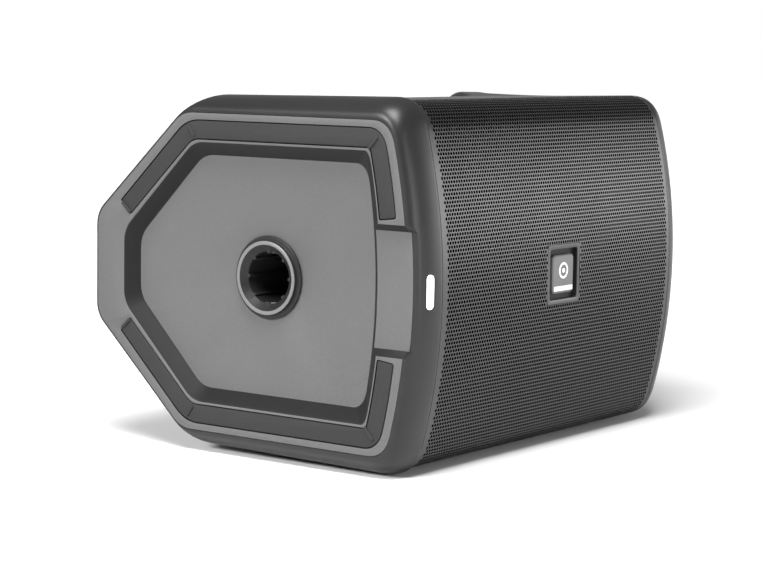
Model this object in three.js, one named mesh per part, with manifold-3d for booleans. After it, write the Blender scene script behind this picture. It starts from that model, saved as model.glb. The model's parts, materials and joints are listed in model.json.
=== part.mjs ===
// A portable, battery-powered PA speaker: a moulded cabinet with a wrapped steel grille, an 8 inch woofer,
// a horn tweeter, a small mixer on the back, a battery behind a door and a pole socket in the base.
//
// Every piece is drawn with the speaker standing up, in millimetres: x to the right of someone facing the
// grille, y towards the back, and z up from the faces of the rubber feet. At the end the whole speaker is
// laid on its side, as it is stored: the base faces -X, the grille faces -Y and +Z is up.

import * as THREE from 'three';
import { mergeVertices } from 'three/addons/utils/BufferGeometryUtils.js';
import Module from 'manifold-3d';

const wasm = await Module();
wasm.setup();

// ---------- driving dimensions ----------

const HEIGHT = 399;
const WIDTH = 255;
const DEPTH = 291;
const HALF_WIDTH = WIDTH / 2;
const FRONT = -DEPTH / 2;
const REAR = DEPTH / 2;
const FRONT_RADIUS = 400;

const GAP = 0.4;
const WALL = 4;
const PAST = 1;

const RIM_Z = 1.2;
const RECESS_DEPTH = 10;
const FLOOR_Z = RIM_Z + RECESS_DEPTH;
const BASE_TOP = 27.2;
const GRILLE_BOTTOM = BASE_TOP + GAP;
const GRILLE_TOP = 334.2;
const GRILLE_END = -88;
const GRILLE_THICKNESS = 1.2;
const CAP_BOTTOM = GRILLE_TOP + GAP;
const CAP_HEIGHT = HEIGHT - CAP_BOTTOM;
const CAP_UPRIGHT = 22;
const CAP_FRONT_LEAN = 55;
const CAP_SIDE_LEAN = 20;
const CAP_EDGE = 9;

const ARC_STEPS = 7;
const CORNER_STEPS = 5;
const BEND_STEPS = 3;
const CHAMFER_ROUNDING = 9;

// A plan is one horizontal outline of the cabinet. Its front is a long arc that ends at x = arc, the front
// corners turn onto the sides at y = corner, the sides run to sideEnd, and chamfers lead to the flat rear.
const BASE_PLAN = {
  front: FRONT, arc: 107, half: HALF_WIDTH, corner: -107,
  sideHalf: 125, sideEnd: 50.5, rearHalf: 39, rear: REAR,
};
const RIM_PLAN = {
  front: -134.8, arc: 97, half: 112.4, corner: -104,
  sideHalf: 112.4, sideEnd: 61.8, rearHalf: 36.6, rear: REAR - 2.5,
};
const BODY_PLAN = {
  front: FRONT, arc: 105, half: 125.2, corner: -107,
  sideHalf: 120.4, sideEnd: 50, rearHalf: 40, rear: REAR - 0.5,
};
const TOP_PLAN = { ...BODY_PLAN, sideHalf: 123.5, sideEnd: 80, rearHalf: 60, rear: REAR };
const RECESS_EDGE = {
  front: -112.3, arc: 83, half: 91.6, corner: -98,
  sideHalf: 91.6, sideEnd: 51, rearHalf: 26, rear: 117,
};
const RECESS_FLOOR = {
  front: -102.4, arc: 70, half: 83, corner: -84,
  sideHalf: 83, sideEnd: 50, rearHalf: 22, rear: 110,
};

const LAND = 1;
const SLAB_TOP = RIM_Z + 9.3;
const SHELF_INSET = 12;
const NOTCH_FLOOR = RIM_Z + 5;
const NOTCH_FLOOR_HALF = 39.5;
const NOTCH_RIM_HALF = 44.1;
const NOTCH_LIP = -136.5;
const FOOT_HALF = 6.7;
const FOOT_CORNER = 1.5;
const FOOT_HEIGHT = 2.9;
const SOCKET_Y = -10.6;
const SOCKET_RADIUS = 18.25;
const SOCKET_TOP = 76;
const LED_Z = 15.2;
const LED_HALF_LENGTH = 11.5;
const LED_HALF_HEIGHT = 3;

const BADGE_Z = 180.2;
const BADGE_FRAME_HALF = 21.3;
const BADGE_POCKET_HALF = 18.25;
const BADGE_HALF = 13.8;
const BADGE_CORNER = 3.4;
const BADGE_FACE = -144.9;

const BAFFLE_FACE = -112;
const BAFFLE_BACK = -88.5;
const BAFFLE_HALF = 120;
const WOOFER_Z = 134;
const TWEETER_Z = 282;
const PORT_X = 88;
const PORT_Z = 286;

const PANEL_FLOOR = 130;
const PANEL_MIDDLE_Z = 214;
const PANEL_HALF_HEIGHT = 113;
const PANEL_HALF_WIDTH = 35.6;

const DOOR_BOTTOM = 36;
const DOOR_TOP = 94;
const DOOR_HALF = 34;
const DOOR_PIN_Y = 142.5;
const DOOR_PIN_Z = 38;

const HANDLE_Y = 7;
const HANDLE_Z = 386;
const POCKET = { halfX: 64, front: -32, rear: 46, bottom: 346 };

// ---------- looks ----------

const LOOKS = {
  housing: { color: 0x3c3d3e, roughness: 0.6, metalness: 0 },
  base: { color: 0x6f7072, roughness: 0.7, metalness: 0 },
  grille: { color: 0x434446, roughness: 0.5, metalness: 0.4 },
  rubber: { color: 0x3a3a3b, roughness: 0.9, metalness: 0 },
  socket: { color: 0x2e2e30, roughness: 0.6, metalness: 0 },
  light: { color: 0xffffff, roughness: 0.3, metalness: 0 },
  badge: { color: 0x88898b, roughness: 0.4, metalness: 0.8 },
  control: { color: 0x222224, roughness: 0.5, metalness: 0 },
  accent: { color: 0xd8d8d8, roughness: 0.5, metalness: 0 },
  steel: { color: 0x9a9b9d, roughness: 0.35, metalness: 1 },
  board: { color: 0x1f5a38, roughness: 0.6, metalness: 0 },
  aluminium: { color: 0xb0b1b3, roughness: 0.4, metalness: 1 },
  paper: { color: 0x1c1c1d, roughness: 0.85, metalness: 0 },
  copper: { color: 0xb87333, roughness: 0.4, metalness: 1 },
};

// ---------- mesh tools ----------

function signedVolume(geometry) {
  const points = geometry.getAttribute('position');
  const index = geometry.index.array;
  const [a, b, c] = [new THREE.Vector3(), new THREE.Vector3(), new THREE.Vector3()];
  let total = 0;
  for (let i = 0; i < index.length; i += 3) {
    a.fromBufferAttribute(points, index[i]);
    b.fromBufferAttribute(points, index[i + 1]);
    c.fromBufferAttribute(points, index[i + 2]);
    total += a.dot(b.cross(c)) / 6;
  }
  return total;
}

// One closed surface with shared vertices, no slivers, and its faces pointing out.
function closed(geometry) {
  const bare = new THREE.BufferGeometry();
  bare.setAttribute('position', geometry.getAttribute('position').clone());
  if (geometry.index) bare.setIndex(geometry.index.clone());
  const merged = mergeVertices(bare);
  const kept = [];
  const index = merged.index.array;
  for (let i = 0; i < index.length; i += 3) {
    const face = [index[i], index[i + 1], index[i + 2]];
    if (new Set(face).size === 3) kept.push(...face);
  }
  merged.setIndex(kept);
  if (signedVolume(merged) < 0) merged.setIndex(kept.reverse());
  return merged;
}

function toSolid(geometry) {
  const mesh = closed(geometry);
  const vertProperties = new Float32Array(mesh.getAttribute('position').array);
  const triVerts = new Uint32Array(mesh.index.array);
  return new wasm.Manifold(new wasm.Mesh({ numProp: 3, vertProperties, triVerts }));
}

function fromSolid(solid) {
  const mesh = solid.getMesh();
  const geometry = new THREE.BufferGeometry();
  geometry.setAttribute('position', new THREE.BufferAttribute(mesh.vertProperties, 3));
  geometry.setIndex(Array.from(mesh.triVerts));
  return geometry;
}

function cut(base, ...tools) {
  return fromSolid(tools.reduce((solid, tool) => solid.subtract(toSolid(tool)), toSolid(base)));
}

function join(base, ...others) {
  return fromSolid(others.reduce((solid, other) => solid.add(toSolid(other)), toSolid(base)));
}

function overlap(one, other) {
  return fromSolid(toSolid(one).intersect(toSolid(other)));
}

// A box between two corners.
function box([x0, y0, z0], [x1, y1, z1]) {
  const geometry = new THREE.BoxGeometry(x1 - x0, y1 - y0, z1 - z0);
  return geometry.translate((x0 + x1) / 2, (y0 + y1) / 2, (z0 + z1) / 2);
}

// A round bar along y, centred on (x, z).
function barY(x, z, radius, y0, y1, segments = 16) {
  const geometry = new THREE.CylinderGeometry(radius, radius, y1 - y0, segments);
  return geometry.translate(x, (y0 + y1) / 2, z);
}

// A round bar along x, centred on (y, z).
function barX(y, z, radius, x0, x1, segments = 12) {
  const geometry = new THREE.CylinderGeometry(radius, radius, x1 - x0, segments);
  return geometry.rotateZ(Math.PI / 2).translate((x0 + x1) / 2, y, z);
}

// A profile of [radius, y] points turned about a line along y through (x, z).
function turnedY(profile, x, z, segments = 32) {
  const points = profile.map(([radius, y]) => new THREE.Vector2(radius, y));
  return new THREE.LatheGeometry(points, segments).translate(x, 0, z);
}

// A profile of [radius, z] points turned about a line along z through (x, y).
function turnedZ(profile, x, y, segments = 32) {
  const points = profile.map(([radius, z]) => new THREE.Vector2(radius, z));
  return new THREE.LatheGeometry(points, segments).rotateX(Math.PI / 2).translate(x, y, 0);
}

// The same, for a profile that runs all the way round back to its start.
function ringY(profile, x, z, segments) {
  return turnedY([...profile, profile[0]], x, z, segments);
}

function ringZ(profile, x, y, segments) {
  return turnedZ([...profile, profile[0]], x, y, segments);
}

// A flat outline in x and y, raised from z0 to z1.
function raised(outlinePoints, z0, z1) {
  const shape = new THREE.Shape(outlinePoints);
  const geometry = new THREE.ExtrudeGeometry(shape, { depth: z1 - z0, bevelEnabled: false });
  return geometry.translate(0, 0, z0);
}

// A flat outline in x and z, raised from y0 to y1.
function raisedY(outlinePoints, y0, y1) {
  const flipped = outlinePoints.map((point) => new THREE.Vector2(point.x, -point.y));
  return raised(flipped, 0, y1 - y0).rotateX(-Math.PI / 2).translate(0, y0, 0);
}

function roundedRectangle(halfX, halfY, radius, middleX, middleY, steps) {
  const points = [];
  for (let corner = 0; corner < 4; corner += 1) {
    const signX = corner === 0 || corner === 3 ? 1 : -1;
    const signY = corner < 2 ? 1 : -1;
    for (let step = 0; step <= steps; step += 1) {
      const angle = (corner + step / steps) * Math.PI / 2;
      const x = middleX + signX * (halfX - radius) + radius * Math.cos(angle);
      const y = middleY + signY * (halfY - radius) + radius * Math.sin(angle);
      points.push(new THREE.Vector2(x, y));
    }
  }
  return points;
}

// ---------- cabinet outlines ----------

function frontArc(front, x) {
  return front + FRONT_RADIUS - Math.sqrt(FRONT_RADIUS ** 2 - x ** 2);
}

function between(planA, planB, share) {
  const entries = Object.keys(planA).map((key) => [key, planA[key] + (planB[key] - planA[key]) * share]);
  return Object.fromEntries(entries);
}

// The plan moved inwards by the same distance all round.
function inset(plan, distance) {
  const turn = Math.atan2(plan.sideHalf - plan.rearHalf, plan.rear - plan.sideEnd);
  return {
    front: plan.front + distance,
    arc: plan.arc,
    half: plan.half - distance,
    corner: plan.corner,
    sideHalf: plan.sideHalf - distance,
    sideEnd: plan.sideEnd - distance * Math.tan(turn / 2),
    rearHalf: plan.rearHalf - distance * Math.tan((Math.PI / 2 - turn) / 2),
    rear: plan.rear - distance,
  };
}

function bend(start, control, end, steps) {
  return new THREE.QuadraticBezierCurve(start, control, end).getPoints(steps);
}

function roundedCorner(before, corner, after) {
  const start = before.clone().sub(corner).setLength(CHAMFER_ROUNDING).add(corner);
  const end = after.clone().sub(corner).setLength(CHAMFER_ROUNDING).add(corner);
  return bend(start, corner, end, BEND_STEPS);
}

// From the middle of the front to where the front corner meets the side.
function frontHalf(plan) {
  const points = [];
  for (let step = 0; step <= ARC_STEPS; step += 1) {
    const x = plan.arc * step / ARC_STEPS;
    points.push(new THREE.Vector2(x, frontArc(plan.front, x)));
  }
  const arcEnd = points[ARC_STEPS];
  const slope = plan.arc / FRONT_RADIUS;
  const control = new THREE.Vector2(plan.half, arcEnd.y + slope * (plan.half - plan.arc));
  const side = new THREE.Vector2(plan.half, plan.corner);
  points.push(...bend(arcEnd, control, side, CORNER_STEPS).slice(1));
  return points;
}

function mirrored(points) {
  return points.map((point) => new THREE.Vector2(-point.x, point.y)).reverse();
}

function outline(plan) {
  const right = frontHalf(plan);
  const sideCorner = new THREE.Vector2(plan.sideHalf, plan.sideEnd);
  const rearCorner = new THREE.Vector2(plan.rearHalf, plan.rear);
  right.push(...roundedCorner(right[right.length - 1], sideCorner, rearCorner));
  right.push(...roundedCorner(sideCorner, rearCorner, new THREE.Vector2(0, plan.rear)));
  return [...right, ...mirrored(right.slice(1))];
}

// A solid through a stack of plans, each at its own height.
function loft(stack) {
  const rings = stack.map(({ z, plan }) => ({ z, points: outline(plan) }));
  const count = rings[0].points.length;
  const top = (rings.length - 1) * count;
  const positions = rings.flatMap(({ z, points }) => points.flatMap((point) => [point.x, point.y, z]));
  const faces = [];
  for (let ring = 0; ring < top; ring += count) {
    for (let i = 0; i < count; i += 1) {
      const next = (i + 1) % count;
      faces.push(ring + i, ring + next, ring + count + next);
      faces.push(ring + i, ring + count + next, ring + count + i);
    }
  }
  for (const [a, b, c] of THREE.ShapeUtils.triangulateShape(rings[0].points, [])) faces.push(c, b, a);
  for (const [a, b, c] of THREE.ShapeUtils.triangulateShape(rings[rings.length - 1].points, [])) {
    faces.push(top + a, top + b, top + c);
  }
  const geometry = new THREE.BufferGeometry();
  geometry.setAttribute('position', new THREE.Float32BufferAttribute(positions, 3));
  geometry.setIndex(faces);
  return geometry;
}

// ---------- base ----------

const BASE_FILLET_STEPS = 6;

function baseOuter() {
  const stack = [];
  const start = inset(RIM_PLAN, -LAND);
  for (let step = 0; step <= BASE_FILLET_STEPS; step += 1) {
    const angle = (step / BASE_FILLET_STEPS) * Math.PI / 2;
    const z = RIM_Z + (BASE_TOP - RIM_Z) * (1 - Math.cos(angle));
    stack.push({ z, plan: between(start, BASE_PLAN, Math.sin(angle)) });
  }
  return loft(stack);
}

function recessSpace() {
  const above = -PAST / RECESS_DEPTH;
  return loft([
    { z: RIM_Z - PAST, plan: between(RECESS_EDGE, RECESS_FLOOR, above) },
    { z: FLOOR_Z, plan: RECESS_FLOOR },
  ]);
}

function baseHollow() {
  const shoulder = FLOOR_Z + 9;
  return loft([
    { z: FLOOR_Z + WALL, plan: inset(BASE_PLAN, SHELF_INSET) },
    { z: shoulder, plan: inset(BASE_PLAN, 6) },
    { z: BASE_TOP + PAST, plan: inset(BASE_PLAN, 6) },
  ]);
}

function plug(plan, z0, z1) {
  return loft([{ z: z0, plan }, { z: z1, plan }]);
}

// The lip of the base plate that reaches through the front of the rim at the bottom of the grip notch.
function notchLip(margin) {
  const half = NOTCH_FLOOR_HALF + margin;
  const front = [];
  for (let step = -2; step <= 2; step += 1) {
    const x = half * step / 2;
    front.push(new THREE.Vector2(x, frontArc(NOTCH_LIP - margin, x)));
  }
  const rear = [new THREE.Vector2(half, -120), new THREE.Vector2(-half, -120)];
  return raised([...front, ...rear], NOTCH_FLOOR - margin, SLAB_TOP + margin);
}

// The grip notch breaks through the middle of the front rim; its ends slope.
function gripNotch() {
  const slope = (NOTCH_RIM_HALF - NOTCH_FLOOR_HALF) / (NOTCH_FLOOR - RIM_Z);
  const mouth = NOTCH_RIM_HALF + slope * PAST;
  const section = [
    new THREE.Vector2(-NOTCH_FLOOR_HALF, NOTCH_FLOOR), new THREE.Vector2(NOTCH_FLOOR_HALF, NOTCH_FLOOR),
    new THREE.Vector2(mouth, RIM_Z - PAST), new THREE.Vector2(-mouth, RIM_Z - PAST),
  ];
  return raisedY(section, FRONT - PAST, -100);
}

// The middle line of a rubber foot: along the front, round the front corner, down the side and along the
// chamfer. Its x is positive on the right foot and negative on the left one.
function footLine() {
  const points = [47.5, 62, 77, 92].map((x) => new THREE.Vector2(x, frontArc(-121.2, x)));
  const cornerEnd = new THREE.Vector2(100.7, -101.5);
  points.push(...bend(points[points.length - 1], new THREE.Vector2(100.7, -108.5), cornerEnd, 5).slice(1));
  const sideCorner = new THREE.Vector2(100.7, 55);
  const chamferEnd = new THREE.Vector2(42.5, 115.5);
  points.push(...roundedCorner(cornerEnd, sideCorner, chamferEnd), chamferEnd);
  return points;
}

// A strip of even width along a line of points, with square ends whose corners are rounded.
function strip(line, half, corner) {
  const left = [];
  const right = [];
  line.forEach((point, i) => {
    const before = line[Math.max(i - 1, 0)];
    const after = line[Math.min(i + 1, line.length - 1)];
    const along = after.clone().sub(before).normalize();
    const across = new THREE.Vector2(along.y, -along.x).multiplyScalar(half);
    left.push(point.clone().sub(across));
    right.push(point.clone().add(across));
  });
  return [
    ...roundedEnd(left[0], right[0], right[1], corner),
    ...right.slice(1, -1),
    ...roundedEnd(right[right.length - 2], right[right.length - 1], left[left.length - 1], corner),
    ...roundedEnd(right[right.length - 1], left[left.length - 1], left[left.length - 2], corner),
    ...left.slice(1, -1).reverse(),
    ...roundedEnd(left[1], left[0], right[0], corner),
  ];
}

function roundedEnd(before, corner, after, size) {
  const start = before.clone().sub(corner).setLength(size).add(corner);
  const end = after.clone().sub(corner).setLength(size).add(corner);
  return bend(start, corner, end, BEND_STEPS);
}

function footOutline(side, margin) {
  const line = footLine();
  const last = line.length - 1;
  const lengthen = (end, next) => end.add(end.clone().sub(next).setLength(margin));
  if (margin > 0) {
    lengthen(line[0], line[1]);
    lengthen(line[last], line[last - 1]);
  }
  const points = strip(line, FOOT_HALF + margin, FOOT_CORNER + margin);
  return side > 0 ? points : mirrored(points);
}

function foot(side) {
  return raised(footOutline(side, 0), 0, FOOT_HEIGHT);
}

function footGroove(side) {
  return raised(footOutline(side, GAP), RIM_Z - PAST, FOOT_HEIGHT + GAP);
}

function ledPill(margin, y0, y1) {
  const halfHeight = LED_HALF_HEIGHT + margin;
  const points = roundedRectangle(LED_HALF_LENGTH + margin, halfHeight, halfHeight - 0.01, 0, LED_Z, 4);
  return raisedY(points, y0, y1);
}

// The dark ring round the base. A shelf inside it carries the base plate.
function bottomCap() {
  const seat = plug(inset(RIM_PLAN, -GAP), RIM_Z - PAST, SLAB_TOP + GAP);
  const opening = plug(inset(RIM_PLAN, SHELF_INSET - GAP), SLAB_TOP, FLOOR_Z + WALL + PAST);
  const ledHole = ledPill(GAP, FRONT - PAST, -130);
  return cut(baseOuter(), seat, opening, baseHollow(), gripNotch(), notchLip(GAP), ledHole);
}

// The grey plate that fills the ring: a flat rim, two grooves for the feet, and a recess with sloped walls.
function basePlate() {
  const holeRadius = SOCKET_RADIUS + 3.5;
  const socketHole = turnedZ(
    [[0, RIM_Z], [holeRadius, RIM_Z], [holeRadius, BASE_TOP], [0, BASE_TOP]], 0, SOCKET_Y,
  );
  const floor = plug(inset(RIM_PLAN, SHELF_INSET), SLAB_TOP - PAST, FLOOR_Z + WALL);
  return cut(
    join(plug(RIM_PLAN, RIM_Z, SLAB_TOP), notchLip(0), floor),
    recessSpace(), gripNotch(), footGroove(1), footGroove(-1), socketHole,
  );
}

// The lens follows the rounded front of the base.
function ledBar() {
  return overlap(ledPill(0, FRONT - PAST, -136), baseOuter());
}

// The ring stands 6 mm above the recess floor on a flange. A blind tube with eight ribs holds the pole.
function poleSocket() {
  const tubeRadius = SOCKET_RADIUS + 3;
  const ringFace = RIM_Z + 5;
  const flangeFace = FLOOR_Z - 1.9;
  const body = turnedZ([
    [0, SOCKET_TOP - WALL], [SOCKET_RADIUS, SOCKET_TOP - WALL], [SOCKET_RADIUS, ringFace + 4],
    [22.2, ringFace], [25, ringFace], [26, ringFace + 1], [26, flangeFace], [29, flangeFace],
    [29, FLOOR_Z - GAP], [tubeRadius, FLOOR_Z - GAP], [tubeRadius, SOCKET_TOP], [0, SOCKET_TOP],
  ], 0, SOCKET_Y);
  const ribs = [];
  for (let rib = 0; rib < 8; rib += 1) {
    const bar = box(
      [SOCKET_RADIUS - 1.5, -1.4, ringFace + 5],
      [SOCKET_RADIUS + 1, 1.4, SOCKET_TOP - WALL - 8],
    );
    ribs.push(bar.rotateZ(rib * Math.PI / 4).translate(0, SOCKET_Y, 0));
  }
  return join(body, ...ribs);
}

// ---------- cabinet ----------

// The body is narrower than the two ends behind the grille, and meets the base in a short slope.
function bodyStack(distance, extra) {
  const at = (z, plan) => ({ z, plan: inset(plan, distance) });
  return [
    at(GRILLE_BOTTOM - extra, BASE_PLAN), at(44, BODY_PLAN), at(GRILLE_TOP + extra, BODY_PLAN),
  ];
}

function rearCabinet() {
  const frontSpace = box([-WIDTH, FRONT - 9, 0], [WIDTH, GRILLE_END + GAP, HEIGHT]);
  const panelHole = box(
    [-PANEL_HALF_WIDTH - GAP, 100, PANEL_MIDDLE_Z - PANEL_HALF_HEIGHT - GAP],
    [PANEL_HALF_WIDTH + GAP, REAR + PAST, PANEL_MIDDLE_Z + PANEL_HALF_HEIGHT + GAP],
  );
  const doorHole = box([-DOOR_HALF - 0.5, 100, 34.2], [DOOR_HALF + 0.5, REAR + PAST, DOOR_TOP + 0.5]);
  return cut(loft(bodyStack(0, 0)), loft(bodyStack(WALL, PAST)), frontSpace, panelHole, doorHole);
}

// The top leans back at the front and draws in at its front corners along one parabola that starts
// upright, flares out behind the grille line and has a small rounding round its upper edge.
function topPlan(z, distance) {
  const rise = z - CAP_BOTTOM;
  const spare = CAP_HEIGHT - 2 * CAP_UPRIGHT;
  const along = (Math.sqrt(CAP_UPRIGHT ** 2 + spare * rise) - CAP_UPRIGHT) / spare;
  const lean = CAP_FRONT_LEAN * along ** 2;
  const flare = THREE.MathUtils.smoothstep(rise, 0, CAP_HEIGHT / 2);
  const edge = Math.max(0, (rise - CAP_HEIGHT + CAP_EDGE) / CAP_EDGE);
  const rounding = 5 * (1 - Math.sqrt(1 - edge ** 2));
  const plan = inset(between(BODY_PLAN, TOP_PLAN, flare), distance + rounding);
  plan.front += lean;
  plan.corner += lean * 0.8;
  plan.half -= CAP_SIDE_LEAN * along ** 2;
  plan.arc -= CAP_SIDE_LEAN * along ** 2;
  return plan;
}

function topStack(distance, topZ) {
  const rises = [0, 6, 13, 21, 30, 42, CAP_HEIGHT - CAP_EDGE, CAP_HEIGHT - 4, CAP_HEIGHT - 1.5];
  const levels = rises.map((rise) => CAP_BOTTOM + rise).filter((z) => z < topZ - 1);
  return [...levels, topZ].map((z) => ({ z, plan: topPlan(z, distance) }));
}

function handlePocket(margin, top) {
  return box(
    [-POCKET.halfX - margin, POCKET.front - margin, POCKET.bottom - margin],
    [POCKET.halfX + margin, POCKET.rear + margin, top],
  );
}

function topCap() {
  const hollow = topStack(WALL, HEIGHT - WALL);
  hollow[0].z -= PAST;
  const shell = cut(loft(topStack(0, HEIGHT)), loft(hollow));
  return cut(join(shell, handlePocket(3, HEIGHT - 2)), handlePocket(0, HEIGHT + PAST));
}

// A bar across the pocket in the top, thicker than it is high.
function carryHandle() {
  const section = roundedRectangle(13, 8.5, 7, 0, 0, 4);
  const length = 2 * (POCKET.halfX - GAP);
  const bar = raised(section, -length / 2, length / 2);
  return bar.rotateY(Math.PI / 2).rotateX(Math.PI / 2).translate(0, HANDLE_Y, HANDLE_Z);
}

// ---------- grille and badge ----------

function grilleEdge(distance) {
  const plan = inset(BODY_PLAN, distance);
  const points = frontHalf(plan);
  const last = points[points.length - 1];
  const share = (GRILLE_END - last.y) / (plan.sideEnd - last.y);
  points.push(new THREE.Vector2(last.x + (plan.sideHalf - last.x) * share, GRILLE_END));
  return points;
}

function grille() {
  const outer = grilleEdge(0);
  const inner = grilleEdge(GRILLE_THICKNESS);
  const back = [...inner].reverse();
  const section = [...mirrored(outer), ...outer.slice(1), ...back, ...mirrored(back).slice(1)];
  const sheet = raised(section, GRILLE_BOTTOM, GRILLE_TOP);
  const half = BADGE_FRAME_HALF + GAP;
  return cut(sheet, box([-half, FRONT - 5, BADGE_Z - half], [half, FRONT + 5, BADGE_Z + half]));
}

// A square tray set into the grille, with a hole for the spindle of the turning badge.
function badgeFrame() {
  const frame = box(
    [-BADGE_FRAME_HALF, -145.3, BADGE_Z - BADGE_FRAME_HALF],
    [BADGE_FRAME_HALF, -139.5, BADGE_Z + BADGE_FRAME_HALF],
  );
  const pocket = box(
    [-BADGE_POCKET_HALF, FRONT - PAST, BADGE_Z - BADGE_POCKET_HALF],
    [BADGE_POCKET_HALF, -142, BADGE_Z + BADGE_POCKET_HALF],
  );
  return cut(frame, pocket, barY(0, BADGE_Z, 2.6, -143, -138));
}

function badgePlate() {
  const points = roundedRectangle(BADGE_HALF, BADGE_HALF, BADGE_CORNER, 0, BADGE_Z, 4);
  return join(raisedY(points, BADGE_FACE, -142.4), barY(0, BADGE_Z, 2, -143, -137));
}

// ---------- loudspeakers ----------

function frontBaffle() {
  const plate = box([-BAFFLE_HALF, BAFFLE_FACE, 30], [BAFFLE_HALF, BAFFLE_BACK, 331.5]);
  const back = box([-BAFFLE_HALF + 7, -100, 37], [BAFFLE_HALF - 7, BAFFLE_BACK + PAST, 324.5]);
  const ends = [BAFFLE_FACE - PAST, BAFFLE_BACK + PAST];
  return cut(
    plate, back,
    barY(0, WOOFER_Z, 92, ...ends, 40),
    barY(0, TWEETER_Z, 36, ...ends, 28),
    barY(-PORT_X, PORT_Z, 18, ...ends),
    barY(PORT_X, PORT_Z, 18, ...ends),
  );
}

function wooferBasket() {
  const frame = ringY([
    [87.5, -115.2], [101.5, -115.2], [101.5, -112.4], [91, -112.4], [91, -103], [52, -48],
    [52, -46], [24, -46], [24, -48.6], [49, -48.6], [87.5, -104],
  ], 0, WOOFER_Z, 32);
  const windowAcross = box([-100, -92, WOOFER_Z - 17], [100, -60, WOOFER_Z + 17]);
  const windowUp = box([-17, -92, WOOFER_Z - 100], [17, -60, WOOFER_Z + 100]);
  return cut(frame, windowAcross, windowUp);
}

// A half roll of rubber between the frame and the cone.
function wooferSurround() {
  const arc = (radius, degrees) => {
    const angle = degrees * Math.PI / 180;
    return [80.3 - radius * Math.cos(angle), -109 - radius * Math.sin(angle)];
  };
  const front = [0, 45, 90, 135, 180].map((degrees) => arc(6.2, degrees));
  const back = [180, 135, 90, 45, 0].map((degrees) => arc(5.2, degrees));
  return ringY([...front, ...back], 0, WOOFER_Z, 24);
}

function wooferCone() {
  return ringY([[73, -110], [73, -109], [21, -81], [19, -81], [19, -82]], 0, WOOFER_Z, 24);
}

function dustCap() {
  return turnedY([[0, -92], [12, -90], [22, -84.6], [21, -84.2], [12, -89], [0, -91]], 0, WOOFER_Z, 18);
}

function voiceCoil() {
  return ringY([[18.6, -80.6], [18.6, -50], [19.6, -50], [19.6, -80.6]], 0, WOOFER_Z, 18);
}

function wooferSpider() {
  const waves = [20.8, 34, 48, 62.4];
  const front = waves.map((radius, i) => [radius, i % 2 ? -71.6 : -70]);
  const back = front.map(([radius, y]) => [radius, y + 0.8]).reverse();
  return ringY([...front, ...back], 0, WOOFER_Z, 24);
}

// The pole piece and ring magnet, with a narrow round slot for the voice coil.
function wooferMagnet() {
  return turnedY([
    [0, -52], [17.6, -52], [17.6, -36], [20.8, -36], [20.8, -52], [23.2, -52],
    [23.2, -45.6], [48, -45.6], [48, -14], [0, -14],
  ], 0, WOOFER_Z, 20);
}

function tweeterWaveguide() {
  return ringY([
    [40, -115.2], [44, -115.2], [44, -112.4], [35, -112.4], [35, -108], [15, -84], [12.5, -84],
    [12.5, -86], [16, -98], [24, -108], [33, -113.6],
  ], 0, TWEETER_Z, 20);
}

function tweeterDriver() {
  return turnedY([
    [0, -83.5], [14, -83.5], [14, -80], [30, -80], [30, -56], [24, -52], [0, -52],
  ], 0, TWEETER_Z, 18);
}

function bassPort(side) {
  const profile = [[15, -114.6], [21, -114.6], [21, -112.4], [17.4, -112.4], [17.4, -20], [15, -20]];
  return ringY(profile, side * PORT_X, PORT_Z, 16);
}

// ---------- control panel ----------

const KNOBS = [
  { name: 'channel_1_knob', x: -17, z: 284 },
  { name: 'channel_2_knob', x: 17, z: 284 },
  { name: 'channel_3_knob', x: -17, z: 260 },
  { name: 'channel_4_knob', x: 17, z: 260 },
  { name: 'bass_knob', x: -17, z: 236 },
  { name: 'treble_knob', x: 17, z: 236 },
  { name: 'reverb_knob', x: -17, z: 212 },
];
const MASTER = { x: 0, z: 309 };
const BUTTONS = [
  { name: 'pairing_button', x: 8, z: 212, radius: 4.2 },
  { name: 'phantom_button', x: 24, z: 212, radius: 4.2 },
  { name: 'power_button', x: 21, z: 118, radius: 6.5 },
];
const COMBO_JACKS = [{ x: -17, z: 184 }, { x: 17, z: 184 }];
const LARGE_JACKS = [
  { name: 'instrument_jack', x: -17, z: 156 },
  { name: 'pass_through_jack', x: 17, z: 156 },
];
const SMALL_JACKS = [
  { name: 'aux_jack', x: -22, z: 140 },
  { name: 'headphone_jack', x: 0, z: 140 },
];
const USB = { x: 22, z: 140 };
const INLET = { x: -8, z: 117 };
const SCREWS = [{ x: -29.6, z: 321 }, { x: 29.6, z: 321 }, { x: -29.6, z: 107 }, { x: 29.6, z: 106 }];
const PANEL_BACK = PANEL_FLOOR - 3;
const BODY_DEPTH = 109;
const TAB = { half: 4, bottom: 12.1, top: 14.7 };

function throughPanel(piece, radius, segments = 16) {
  return barY(piece.x, piece.z, radius, PANEL_BACK - PAST, PANEL_FLOOR + PAST, segments);
}

function slotThroughPanel(middle, halfX, bottom, top) {
  return box(
    [middle.x - halfX, PANEL_BACK - PAST, middle.z + bottom],
    [middle.x + halfX, PANEL_FLOOR + PAST, middle.z + top],
  );
}

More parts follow.
